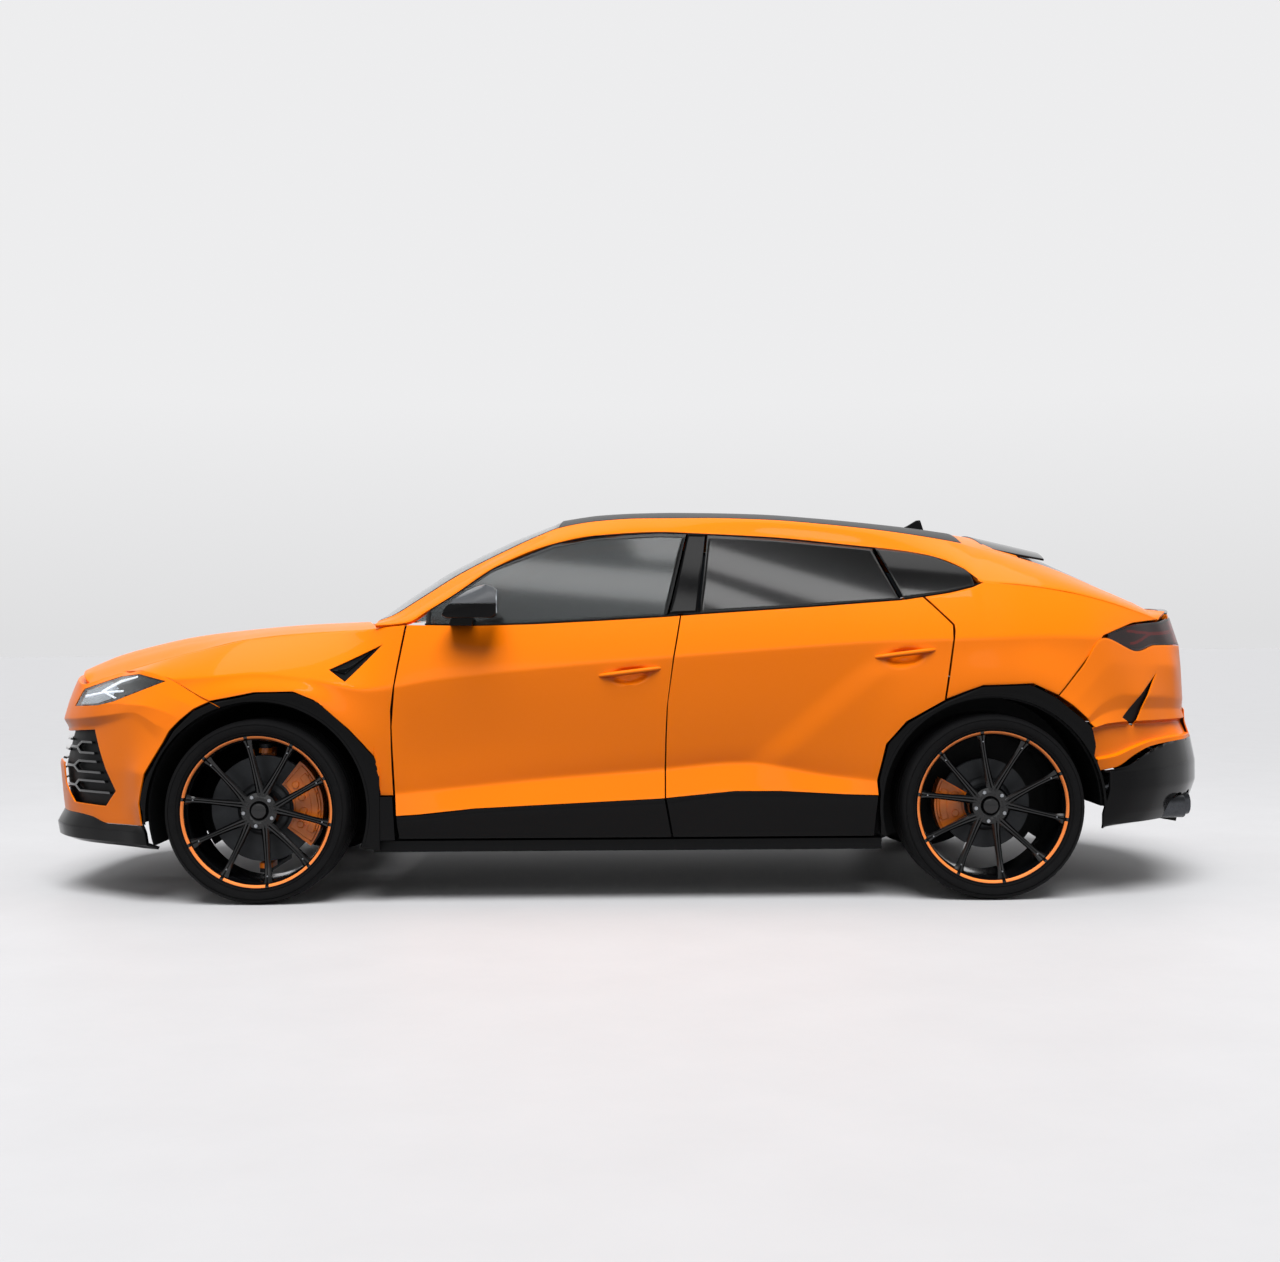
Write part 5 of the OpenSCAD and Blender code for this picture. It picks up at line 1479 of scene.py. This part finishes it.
for end in ("front", "rear"):
    front = end == "front"
    bothSides(f"caliper_face_{end}", lambda: caliperFace(front), caliperPaint,
              "knuckle_*" if front else "body", bevel=2.5)
    bothSides(f"tyre_{end}_rubber", lambda: tyreRing(front), tyreRubber, f"wheel_{end}_*", f"tyre_{end}_*",
              sharp=26)
    bothSides(f"rim_{end}", lambda: rimShape(front), rimBlack, f"wheel_{end}_*", f"wheel_{end}_*", sharp=26)
    bothSides(f"wheel_nuts_{end}", lambda: wheelNuts(front), nutMetal, f"wheel_{end}_*")
    bothSides(f"rim_line_{end}", lambda: rimStripe(front), rimLine, f"wheel_{end}_*")
    bothSides(f"brake_disc_{end}", lambda: brakeDisc(front), discMetal, f"wheel_{end}_*")
print("wheels made")

# Mirrors

mirrorFront = smoothLine([(0, -738), (0.1, -756), (0.3, -745), (0.5, -716), (0.7, -680), (0.85, -646),
                          (0.95, -614), (1, -590)])
mirrorBack = smoothLine([(0, -556), (0.1, -538), (0.4, -533), (0.74, -535), (0.92, -546), (1, -572)])


def mirrorShell(low=0.0, high=1.0):
    def make():
        def place(u, v):
            f = lerp(low, high, v)
            x = lerp(mirrorFront(f), mirrorBack(f), u)
            bulge = math.sin(math.radians(25 + 75 * u)) * (0.72 + 0.28 * math.sin(math.radians(20 + 140 * f)))
            return Vector((x, -(1000 + 82 * bulge), lerp(1164, 1296, f)))
        bm = grid(30, 24, place)
        closeBack(bm, lambda co: Vector((co.x, -(958 + 24 * (co.z - 1164) / 132 - 22 * (co.x + 740) / 200),
                                         co.z)))
        return bm
    return make


def mirrorArm():
    bm = bmesh.new()
    prism(bm, [(-738, 1132), (-644, 1132), (-636, 1178), (-728, 1178)], -950, -880)
    return bm


def mirrorGlass():
    bm = bmesh.new()
    prism(bm, [(-1058, 1182), (-985, 1178), (-975, 1200), (-978, 1268), (-995, 1282), (-1050, 1276),
               (-1064, 1250), (-1066, 1200)], -534, -531.6, "x")
    return bm


bothSides("mirror_shell", mirrorShell(0, 0.42), glossBlack, "door_front_*", "mirror_*", bevel=7,
          bevelSteps=4)
bothSides("mirror_cap", mirrorShell(0.44, 1), carbon, "door_front_*", "mirror_*", bevel=9, bevelSteps=4)
bothSides("mirror_arm", mirrorArm, glossBlack, "door_front_*", "mirror_*", bevel=4)
bothSides("mirror_glass", mirrorGlass, chrome, "door_front_*")
print("mirrors made")

# Seats: crowned pads; a pad is a box drawn out to a soft form and turned into place

seatSet = {"cuts": 14, "round": 5}


def pad(size, crown, seams=(), taper=0.0):
    bm = bmesh.new()
    bmesh.ops.create_cube(bm, size=2)
    bmesh.ops.subdivide_edges(bm, edges=list(bm.edges), cuts=seatSet["cuts"], use_grid_fill=True)
    n = seatSet["round"]
    for v in bm.verts:
        p = v.co.copy()
        k = 1 / (abs(p.x) ** n + abs(p.y) ** n + abs(p.z) ** n) ** (1 / n)
        q = p * k
        dome = max(0, 1 - q.x * q.x) * max(0, 1 - q.y * q.y)
        groove = sum(math.exp(-((q.y - s) / 0.035) ** 2) + math.exp(-((q.y + s) / 0.035) ** 2) for s in seams)
        rise = crown * dome - (7 * groove * min(1, dome * 6) if p.z > 0 else 0)
        pinch = 1 - 0.03 * math.cos(math.pi * q.x) - 0.03 * math.cos(math.pi * q.y)
        v.co = Vector((q.x * size[0] / 2 * pinch, q.y * size[1] / 2 * (pinch - taper * (q.x + 1) / 2),
                       q.z * size[2] / 2 + (rise if p.z > 0 else 0)))
    return bm


def seated(name, bm, spot, lean, material):
    bmesh.ops.transform(bm, verts=bm.verts,
                        matrix=Matrix.Translation(spot) @ Matrix.Rotation(math.radians(lean), 4, "Y"))
    piece = finish(name, bm, material, "body", ("seats",), sharp=180)


for side, y in (("left", -405), ("right", 405)):
    seated(f"seat_cushion_{side}", pad((520, 480, 130), 22, (0.55,)), (-90, y, 455), 5, leather)
    seated(f"seat_back_{side}", pad((610, 460, 115), 20, (0.5,), 0.16), (255, y, 790), -72, leather)
    seated(f"seat_headrest_{side}", pad((165, 205, 80), 10), (404, y, 1115), -78, leather)
seated("rear_bench", pad((500, 1260, 110), 18, (0.34,)), (860, 0, 500), 4, leather)
seated("rear_backrest", pad((560, 1250, 100), 16, (0.34,)), (1195, 0, 800), -66, leather)
for name, y in (("left", -420), ("middle", 0), ("right", 420)):
    seated(f"rear_headrest_{name}", pad((130, 215, 66), 8), (1342, y, 1115), -76, leather)


def seatBases():
    bm = bmesh.new()
    for y in (-405, 405):
        block(bm, (-330, y - 215, 246), (190, y + 215, 398), 12)
        for s in (-1, 1):
            block(bm, (378, y + s * 45 - 6, 1020), (396, y + s * 45 + 6, 1050), 3)
    block(bm, (650, -630, 246), (1080, 630, 450), 12)
    return bm


finish("seat_bases", seatBases(), satinBlack, "body", ("seats",), soft=False)
print("seats made")


# Finishes of the parts that stay as built

keptFinish = {
    "floor_pan": underside, "cowl": satinBlack,
    "dashboard": darkPlastic, "steering_wheel": leather, "engine_block": castIron,
    "subframes": castIron, "rear_calipers": caliperPaint,
    "knuckle_left": caliperPaint, "knuckle_right": caliperPaint,
}
for node, skin in keptFinish.items():
    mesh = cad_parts[node].data
    mesh.materials.clear()
    mesh.materials.append(skin)

# Floor, background, lights and camera; the floor gives back less light than it shows

ground = Finish("pale_floor", rough=0.55)
rays = ("Is Camera Ray", "Is Glossy Ray", "Is Transmission Ray")
direct = [ground.node("ShaderNodeLightPath", output=name) for name in rays]
direct = direct[0].maths("MAXIMUM", direct[1]).maths("MAXIMUM", direct[2])
pale = ground.between(srgb("bcbcbe"), srgb("c2c2c4"), ground.noise(3, 3))
ground.set(color=ground.between(srgb("3c3c3c"), pale, direct),
           rough=ground.spread(ground.noise(20), 0.5, 0.6))


def stagePiece(name, material, low, high):
    bm = bmesh.new()
    block(bm, low, high)
    mesh = bpy.data.meshes.new(name)
    bm.to_mesh(mesh)
    bm.free()
    mesh.materials.append(material)
    obj = bpy.data.objects.new(name, mesh)
    bpy.context.collection.objects.link(obj)


stagePiece("floor", ground.material, (-90, -90, -0.05), (90, 90, 0))

world = bpy.data.worlds.new("studio")
bpy.context.scene.world = world
world.use_nodes = True
tree = world.node_tree
tree.nodes.clear()


def worldNode(kind, inputs=None, output=0, settings=None):
    made = tree.nodes.new(kind)
    for name, value in (settings or {}).items():
        setattr(made, name, value)
    for name, value in (inputs or {}).items():
        feed(tree, made.inputs[name], value)
    return Value(tree, made.outputs[output])


# Shown background: its tone at the horizon, how it lightens above it and darkens overhead, and its light
skySet = {"edge": 0.738, "lift": 0.11, "liftRate": 7, "dark": 0.62, "darkFrom": 0.5, "darkRate": 3.5,
          "fill": 0.27}
path = tree.nodes.new("ShaderNodeLightPath")
seen = Value(tree, path.outputs["Is Camera Ray"])
seen = seen.maths("MAXIMUM", Value(tree, path.outputs["Is Transmission Ray"]))
seen = seen.maths("MAXIMUM", Value(tree, path.outputs["Is Glossy Ray"]))
toward = worldNode("ShaderNodeSeparateXYZ", {"Vector": worldNode("ShaderNodeTexCoord", output="Generated")},
                   "Z")
lift = (toward * skySet["liftRate"]).maths("MINIMUM", 1.0).maths("MAXIMUM", 0.0)
ceiling = ((toward - skySet["darkFrom"]) * skySet["darkRate"]).maths("MINIMUM", 1.0).maths("MAXIMUM", 0.0)
tone = lift * skySet["lift"] - ceiling * skySet["dark"] + skySet["edge"]
back = worldNode("ShaderNodeCombineXYZ", {"X": tone, "Y": tone, "Z": tone * 1.01})
white = worldNode("ShaderNodeBackground", {"Color": back, "Strength": 1.0})
fill = worldNode("ShaderNodeBackground", {"Color": (1.0, 1.0, 1.0), "Strength": skySet["fill"]})
pick = tree.nodes.new("ShaderNodeMixShader")
end = tree.nodes.new("ShaderNodeOutputWorld")
feed(tree, pick.inputs[0], seen)
tree.links.new(fill.socket, pick.inputs[1])
tree.links.new(white.socket, pick.inputs[2])
tree.links.new(pick.outputs[0], end.inputs[0])


def softbox(name, spot, target, size, power):
    data = bpy.data.lights.new(name, "AREA")
    data.shape = "RECTANGLE"
    data.size, data.size_y = size
    data.energy = power
    lamp = bpy.data.objects.new(name, data)
    bpy.context.collection.objects.link(lamp)
    lamp.location = spot
    lamp.rotation_mode = "QUATERNION"
    lamp.rotation_quaternion = (Vector(target) - Vector(spot)).to_track_quat("-Z", "Y")


# Place, aim, width and length, and power of each soft lamp
lampSet = {
    "overhead": ((0, 0.5, 4.6), (0, 0.3, 0), (7.0, 2.4), 74),
    "band_front": ((-0.4, -2.6, 4.4), (-0.4, -1.0, 1.2), (2.4, 0.5), 18),
    "band_rear": ((1.1, -1.75, 4.4), (1.0, -1.0, 1.2), (2.2, 0.45), 14),
    "front_fill": ((-1.0, -8.2, 4.4), (0, 0, 0.6), (9.0, 2.4), 45),
}
for lampName, values in lampSet.items():
    softbox(lampName, *values)
sunSet = {"energy": 4.0, "angle": 40, "tilt": 25}
sunData = bpy.data.lights.new("soft_sun", "SUN")
sunData.energy = sunSet["energy"]
sunData.angle = math.radians(sunSet["angle"])
sun = bpy.data.objects.new("soft_sun", sunData)
bpy.context.collection.objects.link(sun)
sun.rotation_euler = (math.radians(sunSet["tilt"]), 0, 0)
sun.visible_glossy = False

cameraSet = {"spot": (0.044, -7.475, 1.089), "lens": 44.859375, "tilt": 90.144, "roll": -0.4}
camera = bpy.data.cameras.new("camera")
camera.sensor_width = 36
camera.lens = cameraSet["lens"]
camera.clip_end = 200
eye = bpy.data.objects.new("camera", camera)
bpy.context.collection.objects.link(eye)
tilt = Matrix.Rotation(math.radians(cameraSet["tilt"]), 4, "X")
roll = Matrix.Rotation(math.radians(cameraSet["roll"]), 4, "Z")
eye.matrix_world = Matrix.Translation(cameraSet["spot"]) @ tilt @ roll
bpy.context.scene.camera = eye
bpy.context.scene.view_settings.view_transform = "Standard"
print("stage made")
